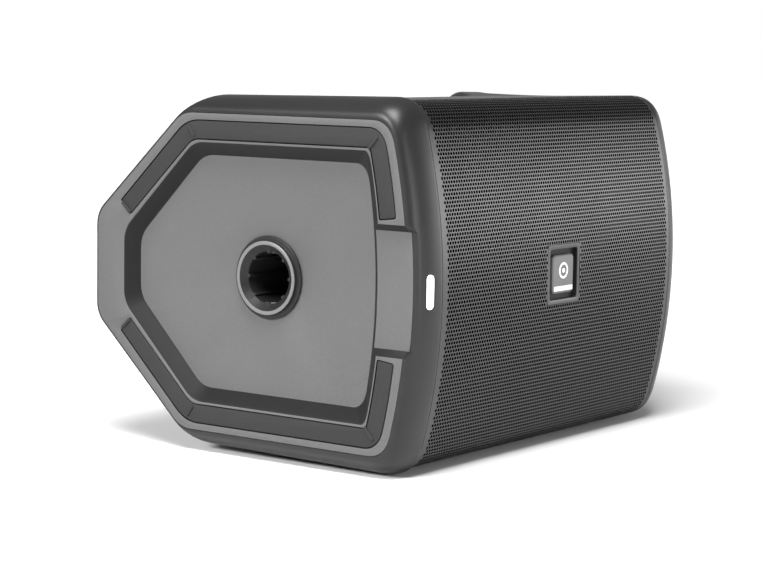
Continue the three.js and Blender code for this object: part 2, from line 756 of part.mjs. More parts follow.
// A deep tray, so that knobs and plugs stay within the depth of the cabinet.
function controlPanel() {
  const tray = box(
    [-PANEL_HALF_WIDTH, PANEL_BACK, PANEL_MIDDLE_Z - PANEL_HALF_HEIGHT],
    [PANEL_HALF_WIDTH, REAR - 0.5, PANEL_MIDDLE_Z + PANEL_HALF_HEIGHT],
  );
  const space = box(
    [-PANEL_HALF_WIDTH + 2.2, PANEL_FLOOR, PANEL_MIDDLE_Z - PANEL_HALF_HEIGHT + 2.2],
    [PANEL_HALF_WIDTH - 2.2, REAR + PAST, PANEL_MIDDLE_Z + PANEL_HALF_HEIGHT - 2.2],
  );
  return cut(
    tray, space,
    ...[...KNOBS, MASTER].map((knob) => throughPanel(knob, 3.4, 12)),
    ...BUTTONS.map((button) => throughPanel(button, button.radius + GAP)),
    ...COMBO_JACKS.map((jack) => throughPanel(jack, 12.2, 20)),
    ...COMBO_JACKS.map((jack) => slotThroughPanel(jack, TAB.half + GAP, TAB.bottom - GAP, TAB.top + GAP)),
    ...LARGE_JACKS.map((jack) => throughPanel(jack, 6.2)),
    ...SMALL_JACKS.map((jack) => throughPanel(jack, 4, 12)),
    slotThroughPanel(USB, 7.9, -4.4, 4.4),
    slotThroughPanel(INLET, 13.9, -10.4, 10.4),
    ...SCREWS.map((screw) => throughPanel(screw, 1.9, 8)),
  );
}

// A knob with a skirt, a tapered grip, a raised pointer and a shaft that goes through the panel.
function knob(piece, radius, segments) {
  const foot = PANEL_FLOOR + 0.8;
  const shaft = 2.9;
  const turned = turnedY([
    [0, 118], [shaft, 118], [shaft, foot], [radius, foot], [radius, foot + 2],
    [radius - 0.9, foot + 2.4], [radius - 1.6, 142.6], [radius - 2.6, 143.6], [0, 143.6],
  ], piece.x, piece.z, segments);
  const pointer = box([piece.x - 0.6, 143, piece.z + 1], [piece.x + 0.6, 144.2, piece.z + radius - 2.2]);
  return join(turned, pointer);
}

function pushButton({ x, z, radius }) {
  const face = PANEL_FLOOR + 2.6;
  return turnedY([[0, 122], [radius, 122], [radius, face - 0.6], [radius - 0.6, face], [0, face]], x, z, 16);
}

// A socket that takes a three-pin plug or a quarter-inch plug.
function comboJack({ x, z }) {
  const plate = box([x - 13, PANEL_FLOOR + GAP, z - 15.3], [x + 13, PANEL_FLOOR + 2, z + 15.3]);
  const barrel = barY(x, z, 11.6, BODY_DEPTH, PANEL_FLOOR + 2, 20);
  const plugHole = barY(x, z, 3.4, BODY_DEPTH + 2, PANEL_FLOOR + 3, 12);
  const pinHoles = [90, 210, 330].map((degrees) => {
    const angle = degrees * Math.PI / 180;
    return barY(x + 7 * Math.cos(angle), z + 7 * Math.sin(angle), 1.4, PANEL_FLOOR - 12, PANEL_FLOOR + 3, 8);
  });
  const tabSlot = box(
    [x - TAB.half - GAP, PANEL_FLOOR - PAST, z + TAB.bottom - GAP],
    [x + TAB.half + GAP, PANEL_FLOOR + 3, z + 16],
  );
  return cut(join(plate, barrel), plugHole, ...pinHoles, tabSlot);
}

function releaseTab({ x, z }) {
  return box([x - TAB.half, 118, z + TAB.bottom], [x + TAB.half, PANEL_FLOOR + 3.2, z + TAB.top]);
}

// A round socket with a nut on the face of the panel.
function roundJack({ x, z }, boreRadius, bodyRadius, nutRadius) {
  const body = barY(x, z, bodyRadius, BODY_DEPTH, PANEL_FLOOR + 2.4);
  const nut = barY(x, z, nutRadius, PANEL_FLOOR + GAP, PANEL_FLOOR + 1.8, 6);
  return cut(join(body, nut), barY(x, z, boreRadius, BODY_DEPTH + 3, PANEL_FLOOR + 3, 12));
}

function usbPort() {
  const { x, z } = USB;
  const shell = box([x - 7.4, 114, z - 3.9], [x + 7.4, PANEL_FLOOR + 1, z + 3.9]);
  const mouth = box([x - 6.2, 117, z - 2.5], [x + 6.2, PANEL_FLOOR + 2, z + 2.5]);
  const tongue = box([x - 5.4, 116, z + 0.2], [x + 5.4, PANEL_FLOOR, z + 2]);
  return join(cut(shell, mouth), tongue);
}

// The mains inlet: a deep mouth with three flat pins.
function mainsInlet() {
  const { x, z } = INLET;
  const plate = box([x - 16, PANEL_FLOOR + GAP, z - 11.4], [x + 16, PANEL_FLOOR + 2, z + 11.4]);
  const shell = box([x - 13.5, BODY_DEPTH, z - 10], [x + 13.5, PANEL_FLOOR + 2, z + 10]);
  const mouth = box([x - 12, PANEL_FLOOR - 14, z - 8.4], [x + 12, PANEL_FLOOR + 3, z + 8.4]);
  const pins = [[-7, -1], [0, 2.5], [7, -1]].map(([pinX, pinZ]) => box(
    [x + pinX - 1, PANEL_FLOOR - 15, z + pinZ - 2], [x + pinX + 1, PANEL_FLOOR - 5, z + pinZ + 2],
  ));
  return join(cut(join(plate, shell), mouth), ...pins);
}

function panelScrew({ x, z }) {
  const screw = turnedY([
    [0, 120], [1.4, 120], [1.4, 130.4], [2.9, 130.4], [2.6, 132.2], [0, 132.2],
  ], x, z, 12);
  const across = box([x - 1.7, 131.4, z - 0.35], [x + 1.7, 133, z + 0.35]);
  const upright = box([x - 0.35, 131.4, z - 1.7], [x + 0.35, 133, z + 1.7]);
  return cut(screw, join(across, upright));
}

// ---------- battery ----------

function batteryDoor() {
  const plate = box([-DOOR_HALF, 142, DOOR_BOTTOM], [DOOR_HALF, REAR - 0.5, DOOR_TOP]);
  const barrel = barX(DOOR_PIN_Y, DOOR_PIN_Z, 2.4, -DOOR_HALF, DOOR_HALF);
  const bore = barX(DOOR_PIN_Y, DOOR_PIN_Z, 1.2, -WIDTH, WIDTH);
  const gap = box([-10, 139, 35], [10, REAR + PAST, 41]);
  const latchPocket = box([-8.5, 143.2, 79.5], [8.5, REAR + PAST, 90.5]);
  return cut(join(plate, barrel), bore, gap, latchPocket);
}

function doorPin() {
  return barX(DOOR_PIN_Y, DOOR_PIN_Z, 0.8, -DOOR_HALF - 0.3, DOOR_HALF + 0.3, 10);
}

// A thumb slider with three ridges, drawn down to free the door.
function doorLatch() {
  const plate = box([-8, 143.6, 84], [8, 144.6, 90]);
  const ridges = [85, 87, 89].map((z) => box([-7, 144.4, z - 0.4], [7, 145.3, z + 0.4]));
  return join(plate, ...ridges);
}

function batteryBay() {
  return cut(box([-35.5, 58, 32.6], [35.5, 138, 98]), box([-32.5, 61, 35.6], [32.5, 139, 95]));
}

function batteryPack() {
  const pack = box([-31, 66, 37], [31, 136, 93]);
  return join(pack, box([-14, 135, 60], [14, 138.5, 63]));
}

function batteryContacts() {
  const block = box([-12, 61.4, 55], [12, 63.4, 75]);
  const blades = [-8, 0, 8].map((x) => box([x - 0.6, 63, 59], [x + 0.6, 65.6, 71]));
  return join(block, ...blades);
}

// ---------- electronics ----------

function mixerBoard() {
  return box([-33, 104, 106], [33, 105.6, 322]);
}

function amplifierBoard() {
  const chips = [-40, 0, 40].map((x) => box([x - 12, 66, 300], [x + 12, 70.5, 318]));
  return join(box([-60, 70, 200], [60, 71.6, 330]), ...chips);
}

function heatSink() {
  const plate = box([-50, 72, 212], [50, 77, 318]);
  const fins = [-48, -32, -16, 0, 16, 32, 48].map((x) => box([x - 1.2, 76, 212], [x + 1.2, 96, 318]));
  return join(plate, ...fins);
}

function powerSupply() {
  const board = box([-55, 62, 104], [55, 63.6, 188]);
  const transformer = box([-20, 63, 120], [14, 92, 158]);
  const capacitors = [-38, 34].map((x) => barY(x, 140, 11, 63, 90, 14));
  return join(board, transformer, ...capacitors);
}

// ---------- assembly ----------

const upright = new THREE.Group();

function addPart(name, geometry, look) {
  const mesh = new THREE.Mesh(closed(geometry), new THREE.MeshStandardMaterial(LOOKS[look]));
  mesh.name = name;
  upright.add(mesh);
}

function addCabinet() {
  addPart('bottom_cap', bottomCap(), 'housing');
  addPart('base_plate', basePlate(), 'base');
  addPart('rear_cabinet', rearCabinet(), 'housing');
  addPart('top_cap', topCap(), 'housing');
  addPart('carry_handle', carryHandle(), 'rubber');
  addPart('front_baffle', frontBaffle(), 'housing');
  addPart('grille', grille(), 'grille');
  addPart('badge_frame', badgeFrame(), 'grille');
  addPart('badge_plate', badgePlate(), 'badge');
  addPart('foot_left', foot(-1), 'rubber');
  addPart('foot_right', foot(1), 'rubber');
  addPart('pole_socket', poleSocket(), 'socket');
  addPart('led_bar', ledBar(), 'light');
}

function addLoudspeakers() {
  addPart('woofer_basket', wooferBasket(), 'control');
  addPart('woofer_surround', wooferSurround(), 'rubber');
  addPart('woofer_cone', wooferCone(), 'paper');
  addPart('dust_cap', dustCap(), 'paper');
  addPart('voice_coil', voiceCoil(), 'copper');
  addPart('woofer_spider', wooferSpider(), 'paper');
  addPart('woofer_magnet', wooferMagnet(), 'steel');
  addPart('tweeter_waveguide', tweeterWaveguide(), 'control');
  addPart('tweeter_driver', tweeterDriver(), 'steel');
  addPart('bass_port_left', bassPort(-1), 'control');
  addPart('bass_port_right', bassPort(1), 'control');
}

function addControls() {
  addPart('control_panel', controlPanel(), 'housing');
  addPart('master_knob', knob(MASTER, 10, 24), 'control');
  KNOBS.forEach((piece) => addPart(piece.name, knob(piece, 6.8, 16), 'control'));
  BUTTONS.forEach((piece) => addPart(piece.name, pushButton(piece), 'accent'));
  COMBO_JACKS.forEach((piece, i) => {
    addPart(`combo_jack_${i + 1}`, comboJack(piece), 'control');
    addPart(`release_tab_${i + 1}`, releaseTab(piece), 'steel');
  });
  LARGE_JACKS.forEach((piece) => addPart(piece.name, roundJack(piece, 3.4, 5.8, 7.6), 'control'));
  SMALL_JACKS.forEach((piece) => addPart(piece.name, roundJack(piece, 1.9, 3.6, 5), 'control'));
  addPart('usb_port', usbPort(), 'steel');
  addPart('mains_inlet', mainsInlet(), 'control');
  SCREWS.forEach((piece, i) => addPart(`panel_screw_${i + 1}`, panelScrew(piece), 'steel'));
  addPart('mixer_board', mixerBoard(), 'board');
}

function addPower() {
  addPart('battery_bay', batteryBay(), 'housing');
  addPart('battery_pack', batteryPack(), 'control');
  addPart('battery_contacts', batteryContacts(), 'copper');
  addPart('battery_door', batteryDoor(), 'housing');
  addPart('battery_door_pin', doorPin(), 'steel');
  addPart('battery_door_latch', doorLatch(), 'control');
  addPart('amplifier_board', amplifierBoard(), 'board');
  addPart('heat_sink', heatSink(), 'aluminium');
  addPart('power_supply', powerSupply(), 'board');
}

addCabinet();
addLoudspeakers();
addControls();
addPower();

// Lay the speaker on its side, with its middle height at X = 0 and its right side on Z = 0.
upright.rotation.y = Math.PI / 2;
upright.position.set(-HEIGHT / 2, 0, HALF_WIDTH);

const speaker = new THREE.Group();
speaker.add(upright);

export default speaker;
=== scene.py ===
import json
import math

import bmesh
import bpy
import numpy as np
from mathutils import Matrix, Vector


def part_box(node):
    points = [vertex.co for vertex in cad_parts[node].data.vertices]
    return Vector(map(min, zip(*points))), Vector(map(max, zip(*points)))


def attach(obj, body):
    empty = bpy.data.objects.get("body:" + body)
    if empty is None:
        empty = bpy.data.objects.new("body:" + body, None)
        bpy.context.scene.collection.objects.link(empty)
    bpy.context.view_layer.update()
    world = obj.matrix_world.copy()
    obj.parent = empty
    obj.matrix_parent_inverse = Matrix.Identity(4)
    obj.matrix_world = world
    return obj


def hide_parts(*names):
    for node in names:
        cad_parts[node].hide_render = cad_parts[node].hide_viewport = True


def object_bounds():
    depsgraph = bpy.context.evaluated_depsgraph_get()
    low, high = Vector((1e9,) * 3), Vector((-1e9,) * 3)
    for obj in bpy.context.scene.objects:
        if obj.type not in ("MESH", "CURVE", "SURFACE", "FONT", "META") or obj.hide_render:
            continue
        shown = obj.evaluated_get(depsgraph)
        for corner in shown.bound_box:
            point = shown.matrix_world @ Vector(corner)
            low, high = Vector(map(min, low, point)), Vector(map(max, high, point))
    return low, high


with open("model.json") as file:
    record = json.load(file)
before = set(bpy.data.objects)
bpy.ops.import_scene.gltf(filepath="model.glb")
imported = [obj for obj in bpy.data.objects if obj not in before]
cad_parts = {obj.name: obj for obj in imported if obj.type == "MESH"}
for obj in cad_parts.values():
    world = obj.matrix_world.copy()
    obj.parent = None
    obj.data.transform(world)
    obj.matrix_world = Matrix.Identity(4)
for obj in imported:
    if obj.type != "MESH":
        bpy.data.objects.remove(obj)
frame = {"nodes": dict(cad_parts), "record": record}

MM_PER_METRE = 1000

CAD_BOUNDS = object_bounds()
CAD_LOW, CAD_HIGH = (np.array(corner) * MM_PER_METRE for corner in CAD_BOUNDS)

# Shapes are drawn in millimetres with the speaker standing up, as on the bench: x to the right of someone
# facing the grille, y to the back, z up from the feet. to_row() lays them down into the CAD's frame.
HEIGHT, DEPTH, WIDTH = CAD_HIGH - CAD_LOW
HALF_WIDTH = WIDTH / 2
FRONT, REAR = -DEPTH / 2, DEPTH / 2
FRONT_RADIUS = 400.0  # of the shallow arc that the front makes, seen from above


def node_box(name):
    """A CAD node's box in upright millimetres: (lowest corner, highest corner)."""
    low, high = (np.array(corner) * MM_PER_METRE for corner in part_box(name))
    return (
        np.array([HALF_WIDTH - high[2], low[1], low[0] + HEIGHT / 2]),
        np.array([HALF_WIDTH - low[2], high[1], high[0] + HEIGHT / 2]),
    )


def middle(name):
    low, high = node_box(name)
    return (low + high) / 2


# Base: the plate's recess, the ring's seat for the plate, and the grip notch at the front
RIM_Z, BASE_TOP = node_box("bottom_cap")[0][2], node_box("bottom_cap")[1][2]
FLOOR_Z = RIM_Z + 10
FLOOR_THICKNESS = 4
LAND = 1.0  # flat edge of the ring between its rounding and the plate
SLAB_TOP = RIM_Z + 9.3
SHELF_INSET = 12.0  # how far the ring's shelf reaches in behind the plate
NOTCH_FLOOR = RIM_Z + 5
NOTCH_FLOOR_HALF = 39.5
NOTCH_RIM_HALF = 44.1
NOTCH_LIP = -136.5

# Feet: the middle line of each runs along the front, round the corner, down the side and along the chamfer
FOOT_TOP = node_box("foot_left")[1][2]
FOOT_FACE = 1.1
FOOT_HALF = 6.7
FOOT_CORNER = 1.5
FOOT_CLEARANCE = 0.35
FOOT_FRONT_Y = -121.2
FOOT_START_X, FOOT_TURN_X, FOOT_SIDE_X = 47.5, 92, 100.7
FOOT_CORNER_Y, FOOT_SIDE_Y, FOOT_BEND_Y = -108.5, -101.5, 55
FOOT_END = (42.5, 115.5)
FOOT_RIDGES = (((93, -102), (101.5, -109.5)), ((103.5, 56), (95.5, 50.5)), ((46, 119), (38.5, 111)))
RIDGE_HALF = 1.2
RIDGE_CORNER = 1.1

# Pole socket and light
SOCKET_Y = middle("pole_socket")[1]
SOCKET_TOP = node_box("pole_socket")[1][2]
SOCKET_RADIUS = 18.25
SOCKET_WALL = 3
SOCKET_FACE = RIM_Z + 5
COLLAR_RADIUS = 26
FLANGE_RADIUS = 29
FLANGE_Z = FLOOR_Z - 1.9
RIB_COUNT = 8
RIB_HALF = 1.2
LED_Z = middle("led_bar")[2]
LED_HALF_LENGTH, LED_HALF_HEIGHT, LED_CORNER = 11.5, 3, 2.99
LED_BACK = -136
LED_HOLE_BACK = -130

# Body and top end, whose front leans back in a curve that starts upright
BODY_WALL = 4
FLARE_START, FLARE_HEIGHT = 0.8, 20
CAP_BOTTOM = node_box("top_cap")[0][2]
CAP_HEIGHT = HEIGHT - CAP_BOTTOM
CAP_UPRIGHT = 22.0  # the higher, the longer the front stays upright before it leans back
CAP_FRONT_LEAN = 55.0
CAP_CORNER_LEAN = 0.8  # how far the front corners lean back, as a share of the front
CAP_SIDE_LEAN = 20.0
CAP_EDGE = 9.0
CAP_ROUNDING = 5
CAP_LEVELS = 40
POCKET_FLOOR = 346.0
POCKET_HALF_DEPTH = 39
TUB_WALL = 3
TUB_CORNER = 13

# Grille: HALF_ROW and COLUMN fit whole holes round the badge's square window
GRILLE_BOTTOM, GRILLE_TOP = node_box("grille")[0][2], node_box("grille")[1][2]
GRILLE_END = node_box("grille")[1][1]
GRILLE_THICKNESS = 1.2
COLUMN = 2.7125
BADGE_HALF_COLUMNS = 8
BADGE_WINDOW = 43.4
HALF_ROW = BADGE_WINDOW / 29
BADGE_HALF_HEIGHT = BADGE_WINDOW / 2
HOLE_RADIUS = 1.28
HOLE_CORNERS = (180, 242, 298, 0, 62, 118)
SIDE_MARGIN = 3.0
BOTTOM_MARGIN = 4.2
TOP_MARGIN = 3.0
GRILLE_SHEETS = 3
FOAM_FRONT, FOAM_BACK = 2.2, 5.2

# Badge: a tray in the grille's window, and a plate that turns in it
BADGE_Z = middle("badge_frame")[2]
BADGE_TRAY_HALF = 21.3
BADGE_POCKET_HALF = 18.25
BADGE_TRAY_FLOOR = -142.0
BADGE_HALF = 13.8
BADGE_CORNER = 3.4
BADGE_BACK = -142.4
MARK_RAISED = 0.25
MARK_SUNK = 0.1

# Knobs
KNOB_FOOT_Y, KNOB_TOP_Y = 130.8, 143.6
KNOB_SHAFT = 2.9
KNOB_FLUTES = 16
FLUTE_DEPTH = 0.5

GAP = 0.4  # between neighbouring pieces

ARC_STEPS = 26
CORNER_STEPS = 18
BEND_STEPS = 8
FILLET_STEPS = 18
FOOT_STEPS = 14
CHAMFER_ROUNDING = 9.0

# A plan is an outline seen from above, the same on both sides. An arc at the front, its middle at y = front,
# reaches to x = arc. From there a corner leads to (half, corner), the side to (side_half, side_end), and a
# chamfer to (rear_half, rear), where the flat rear begins.
PLAN_KEYS = ("front", "arc", "half", "corner", "side_half", "side_end", "rear_half", "rear")


def plan(*values):
    return dict(zip(PLAN_KEYS, values))


BASE_PLAN = plan(FRONT, 107, HALF_WIDTH, -107, 125, 50.5, 39, REAR)
RIM_PLAN = plan(-134.8, 97, 112.4, -104, 112.4, 61.8, 36.6, REAR - 2.5)
BODY_PLAN = plan(FRONT, 105, 125.2, -107, 120.4, 50, 40, REAR - 0.5)
TOP_PLAN = plan(FRONT, 105, 125.2, -107, 123.5, 80, 60, REAR)
RECESS_EDGE = plan(-112.3, 83, 91.6, -98, 91.6, 51, 26, 117)
RECESS_FLOOR = plan(-102.4, 70, 83, -84, 83, 50, 22, 110)


# ---------- outlines ----------

def front_arc(front, x):
    """y of the front's arc at x, where front is y at its middle."""
    return front + FRONT_RADIUS - np.sqrt(FRONT_RADIUS**2 - x**2)


def between(plan_a, plan_b, share):
    """The plan that lies share of the way from plan_a to plan_b."""
    return {key: plan_a[key] + (plan_b[key] - plan_a[key]) * share for key in PLAN_KEYS}


def inset(shape, distance):
    """The plan moved inwards by about the same distance all round."""
    turn = math.atan2(shape["side_half"] - shape["rear_half"], shape["rear"] - shape["side_end"])
    return plan(
        shape["front"] + distance,
        shape["arc"],
        shape["half"] - distance,
        shape["corner"],
        shape["side_half"] - distance,
        shape["side_end"] - distance * math.tan(turn / 2),
        shape["rear_half"] - distance * math.tan((math.pi / 2 - turn) / 2),
        shape["rear"] - distance,
    )


def bend(start, control, end, steps):
    """A smooth curve from start to end, heading for control at both."""
    t = np.linspace(0, 1, steps + 1)[:, None]
    start, control, end = (np.array(point, float) for point in (start, control, end))
    return (1 - t) ** 2 * start + 2 * t * (1 - t) * control + t**2 * end


def rounded_corner(before, corner, after, size=CHAMFER_ROUNDING, steps=BEND_STEPS):
    before, corner, after = (np.array(point, float) for point in (before, corner, after))
    start = corner + (before - corner) * size / np.linalg.norm(before - corner)
    end = corner + (after - corner) * size / np.linalg.norm(after - corner)
    return bend(start, corner, end, steps)


def front_half(shape):
    """The right half of a plan's front, from its middle to the end of the corner."""
    x = np.linspace(0, shape["arc"], ARC_STEPS + 1)
    arc = np.column_stack([x, front_arc(shape["front"], x)])
    slope = shape["arc"] / FRONT_RADIUS
    control = (shape["half"], arc[-1][1] + slope * (shape["half"] - shape["arc"]))
    corner = bend(arc[-1], control, (shape["half"], shape["corner"]), CORNER_STEPS)
    return np.vstack([arc, corner[1:]])


def mirrored(points):
    return (points * np.array([-1, 1]))[::-1]


def outline(shape):
    right = front_half(shape)
    side = (shape["side_half"], shape["side_end"])
    rear = (shape["rear_half"], shape["rear"])
    right = np.vstack([
        right,
        rounded_corner(right[-1], side, rear),
        rounded_corner(side, rear, (0, shape["rear"])),
    ])
    return np.vstack([right, mirrored(right[1:])])


def at_height(points, z):
    """An outline in x and y, lifted to height z."""
    return np.column_stack([points, np.full(len(points), z)])


def at_depth(points, y):
    """An outline in x and z, moved to depth y."""
    return np.column_stack([points[:, 0], np.full(len(points), y), points[:, 1]])


def ring(shape, z):
    return at_height(outline(shape), z)


def eased(share):
    """A share from 0 to 1, made to start and end gently."""
    return share * share * (3 - 2 * share)


def rounded_rectangle(half_a, half_b, radius, steps=10):
    points = []
    for corner in range(4):
        sign_a = 1 if corner in (0, 3) else -1
        sign_b = 1 if corner < 2 else -1
        angles = (corner + np.linspace(0, 1, steps + 1)) * math.pi / 2
        centre_a, centre_b = sign_a * (half_a - radius), sign_b * (half_b - radius)
        points += [(centre_a + radius * math.cos(a), centre_b + radius * math.sin(a)) for a in angles]
    return np.array(points)


# ---------- mesh tools ----------

SAME_PLACE = 1e-7  # metres


def to_row(points):
    """Lays upright points in millimetres down into the CAD's frame, in metres."""
    points = np.asarray(points, float)
    return np.column_stack([
        points[:, 2] - HEIGHT / 2, points[:, 1], HALF_WIDTH - points[:, 0],
    ]) / MM_PER_METRE


def row_x(z):
    """Where the upright height z comes to lie along the CAD's X axis, in metres."""
    return (z - HEIGHT / 2) / MM_PER_METRE


def new_object(name, points, faces):
    mesh = bpy.data.meshes.new(name)
    mesh.from_pydata(to_row(points).tolist(), [], [list(face) for face in faces])
    mesh.update()
    obj = bpy.data.objects.new(name, mesh)
    bpy.context.scene.collection.objects.link(obj)
    return obj


def strip_faces(rings, count, wrap):
    """Quads between neighbouring rings of count points; wrap joins the last ring to the first."""
    faces = []
    for step in range(rings if wrap else rings - 1):
        a, b = step * count, ((step + 1) % rings) * count
        for i in range(count):
            j = (i + 1) % count
            faces.append((a + i, a + j, b + j, b + i))
    return faces


def through_rings(name, rings, wrap=False):
    """A closed surface through rings of equally many points, capped at both ends unless it wraps."""
    count = len(rings[0])
    faces = strip_faces(len(rings), count, wrap)
    if not wrap:
        faces.append(tuple(reversed(range(count))))
        faces.append(tuple(range((len(rings) - 1) * count, len(rings) * count)))
    obj = new_object(name, np.vstack(rings), faces)
    face_outwards(obj)
    return obj


def face_outwards(obj):
    """Merges points in the same place, and turns every face to look outwards."""
    mesh = bmesh.new()
    mesh.from_mesh(obj.data)
    bmesh.ops.remove_doubles(mesh, verts=mesh.verts, dist=SAME_PLACE)
    bmesh.ops.recalc_face_normals(mesh, faces=mesh.faces)
    mesh.to_mesh(obj.data)
    mesh.free()


def turned(name, profile, centre, along="y", segments=64, flutes=0, depth=0.0, fluted=()):
    """A profile of (radius, height) points turned about a line along y or z through centre.
    Points whose place in the profile is listed in fluted get a wavy radius."""
    angles = np.linspace(0, 2 * math.pi, segments, endpoint=False)
    rings = []
    for place, (radius, height) in enumerate(profile):
        radii = np.full(segments, float(radius))
        if place in fluted:
            radii -= depth * (0.5 - 0.5 * np.cos(flutes * angles))
        a, b = radii * np.cos(angles), radii * np.sin(angles)
        level = np.full(segments, float(height))
        if along == "y":
            rings.append(np.column_stack([centre[0] + a, level, centre[1] + b]))
        else:
            rings.append(np.column_stack([centre[0] + a, centre[1] + b, level]))
    starts_off_axis = profile[0][0] > 0
    return through_rings(name, rings, wrap=starts_off_axis)


def raised(name, points, low, high, along="z"):
    """A flat outline raised from low to high, along z (outline in x, y) or y (outline in x, z)."""
    points = np.asarray(points, float)
    place = at_height if along == "z" else at_depth
    return through_rings(name, [place(points, level) for level in (low, high)])


def block(name, low, high):
    """A box from corner low to corner high."""
    corners = np.array([(low[0], low[1]), (high[0], low[1]), (high[0], high[1]), (low[0], high[1])])
    return raised(name, corners, low[2], high[2])


def bake_modifiers(obj):
    """Replaces a piece's mesh with what its modifiers make of it."""
    graph = bpy.context.evaluated_depsgraph_get()
    mesh = bpy.data.meshes.new_from_object(obj.evaluated_get(graph))
    old = obj.data
    obj.modifiers.clear()
    obj.data = mesh
    bpy.data.meshes.remove(old)


def carve(obj, cutters, operation="DIFFERENCE"):
    """Cuts each of the cutters out of a piece (or joins it on, or keeps what they share) and removes it."""
    for cutter in cutters:
        modifier = obj.modifiers.new("carve", "BOOLEAN")
        modifier.operation = operation
        modifier.solver = "EXACT"
        modifier.object = cutter
        bake_modifiers(obj)
        bpy.data.objects.remove(cutter)
    return obj


def soften(obj, width=0.5, segments=2, angle=35):
    """Rounds every sharp edge by width millimetres."""
    modifier = obj.modifiers.new("soften", "BEVEL")
    modifier.limit_method = "ANGLE"
    modifier.angle_limit = math.radians(angle)
    modifier.width = width / MM_PER_METRE
    modifier.segments = segments
    modifier.use_clamp_overlap = True
    bake_modifiers(obj)
    return obj


def shade(obj, angle=32):
    """Smooth shading, broken along edges sharper than angle."""
    mesh = bmesh.new()
    mesh.from_mesh(obj.data)
    limit = math.radians(angle)
    for face in mesh.faces:
        face.smooth = True
    for edge in mesh.edges:
        edge.smooth = len(edge.link_faces) == 2 and edge.calc_face_angle(0) < limit
    mesh.to_mesh(obj.data)
    mesh.free()
    return obj


def settle(obj, body, slot, material, *nodes):
    """Gives a piece its material, if it has none, and its body, and says which CAD nodes it
    stands for. The slot is not used."""
    if not obj.data.materials:
        obj.data.materials.append(material)
    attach(obj, body)
    if nodes:
        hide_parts(*nodes)
    return obj


# ---------- materials ----------

MOTTLE = 0.06
MOTTLE_SCALE, MOTTLE_DETAIL = 18, 6
MOTTLE_LOW, MOTTLE_HIGH = 0.3, 0.7
GLOSS_SWING = 0.06
GLOSSIEST = 0.05
GRAIN_DETAIL = 3
GRAIN_TINT = 0.25
GRAIN_DEPTH = 0.0003
WHITE = (1, 1, 1, 1)


def new_material(name):
    """A material with its node tree and its main shader."""
    material = bpy.data.materials.new(name)
    material.use_nodes = True
    return material, material.node_tree, material.node_tree.nodes["Principled BSDF"]


def noise(tree, scale, detail):
    place = tree.nodes.new("ShaderNodeTexCoord")
    node = tree.nodes.new("ShaderNodeTexNoise")
    node.inputs["Scale"].default_value = scale
    node.inputs["Detail"].default_value = detail
    tree.links.new(place.outputs["Object"], node.inputs["Vector"])
    return node.outputs["Fac"]


def remapped(tree, value, before, after, steps="LINEAR"):
    """The value with the range (low, high) before stretched to the range after."""
    node = tree.nodes.new("ShaderNodeMapRange")
    node.interpolation_type = steps
    node.inputs["From Min"].default_value, node.inputs["From Max"].default_value = before
    node.inputs["To Min"].default_value, node.inputs["To Max"].default_value = after
    tree.links.new(value, node.inputs["Value"])
    return node.outputs["Result"]


def mottled(tree, cloud, colour):
    """The colour, slightly darker in some patches and lighter in others."""
    ramp = tree.nodes.new("ShaderNodeValToRGB")
    dark, light = ramp.color_ramp.elements
    dark.position, light.position = MOTTLE_LOW, MOTTLE_HIGH
    dark.color = (*[c * (1 - MOTTLE) for c in colour], 1)
    light.color = (*[c * (1 + MOTTLE) for c in colour], 1)
    tree.links.new(cloud, ramp.inputs["Fac"])
    return ramp.outputs["Color"]


def speckled(tree, colour, fine):
    """The colour with a faint trace of the grain in it."""
    mix = tree.nodes.new("ShaderNodeMix")
    mix.data_type = "RGBA"
    mix.blend_type = "OVERLAY"
    mix.inputs["Factor"].default_value = GRAIN_TINT
    tree.links.new(colour, mix.inputs["A"])
    tree.links.new(fine, mix.inputs["B"])
    return mix.outputs["Result"]


def surface(name, colour, roughness, metallic=0.0, grain=0.0, grain_scale=900.0, sheen=0.5):
    """A moulded, coated or metal surface: slightly uneven colour and gloss, with a fine grain."""
    material, tree, shader = new_material(name)
    cloud = noise(tree, MOTTLE_SCALE, MOTTLE_DETAIL)
    fine = noise(tree, grain_scale, GRAIN_DETAIL)
    glossy, dull = max(GLOSSIEST, roughness - GLOSS_SWING), min(1, roughness + GLOSS_SWING)
    shader.inputs["Metallic"].default_value = metallic
    shader.inputs["Specular IOR Level"].default_value = sheen
    tree.links.new(speckled(tree, mottled(tree, cloud, colour), fine), shader.inputs["Base Color"])
    tree.links.new(remapped(tree, cloud, (0, 1), (glossy, dull)), shader.inputs["Roughness"])
    if grain:
        bump = tree.nodes.new("ShaderNodeBump")
        bump.inputs["Strength"].default_value = grain
        bump.inputs["Distance"].default_value = GRAIN_DEPTH
        tree.links.new(fine, bump.inputs["Height"])
        tree.links.new(bump.outputs["Normal"], shader.inputs["Normal"])
    return material


def glowing(name, colour, roughness, strength):
    material = surface(name, colour, roughness)
    shader = material.node_tree.nodes["Principled BSDF"]
    shader.inputs["Emission Color"].default_value = WHITE
    shader.inputs["Emission Strength"].default_value = strength
    return material


def grey(level):
    return (level, level, level)


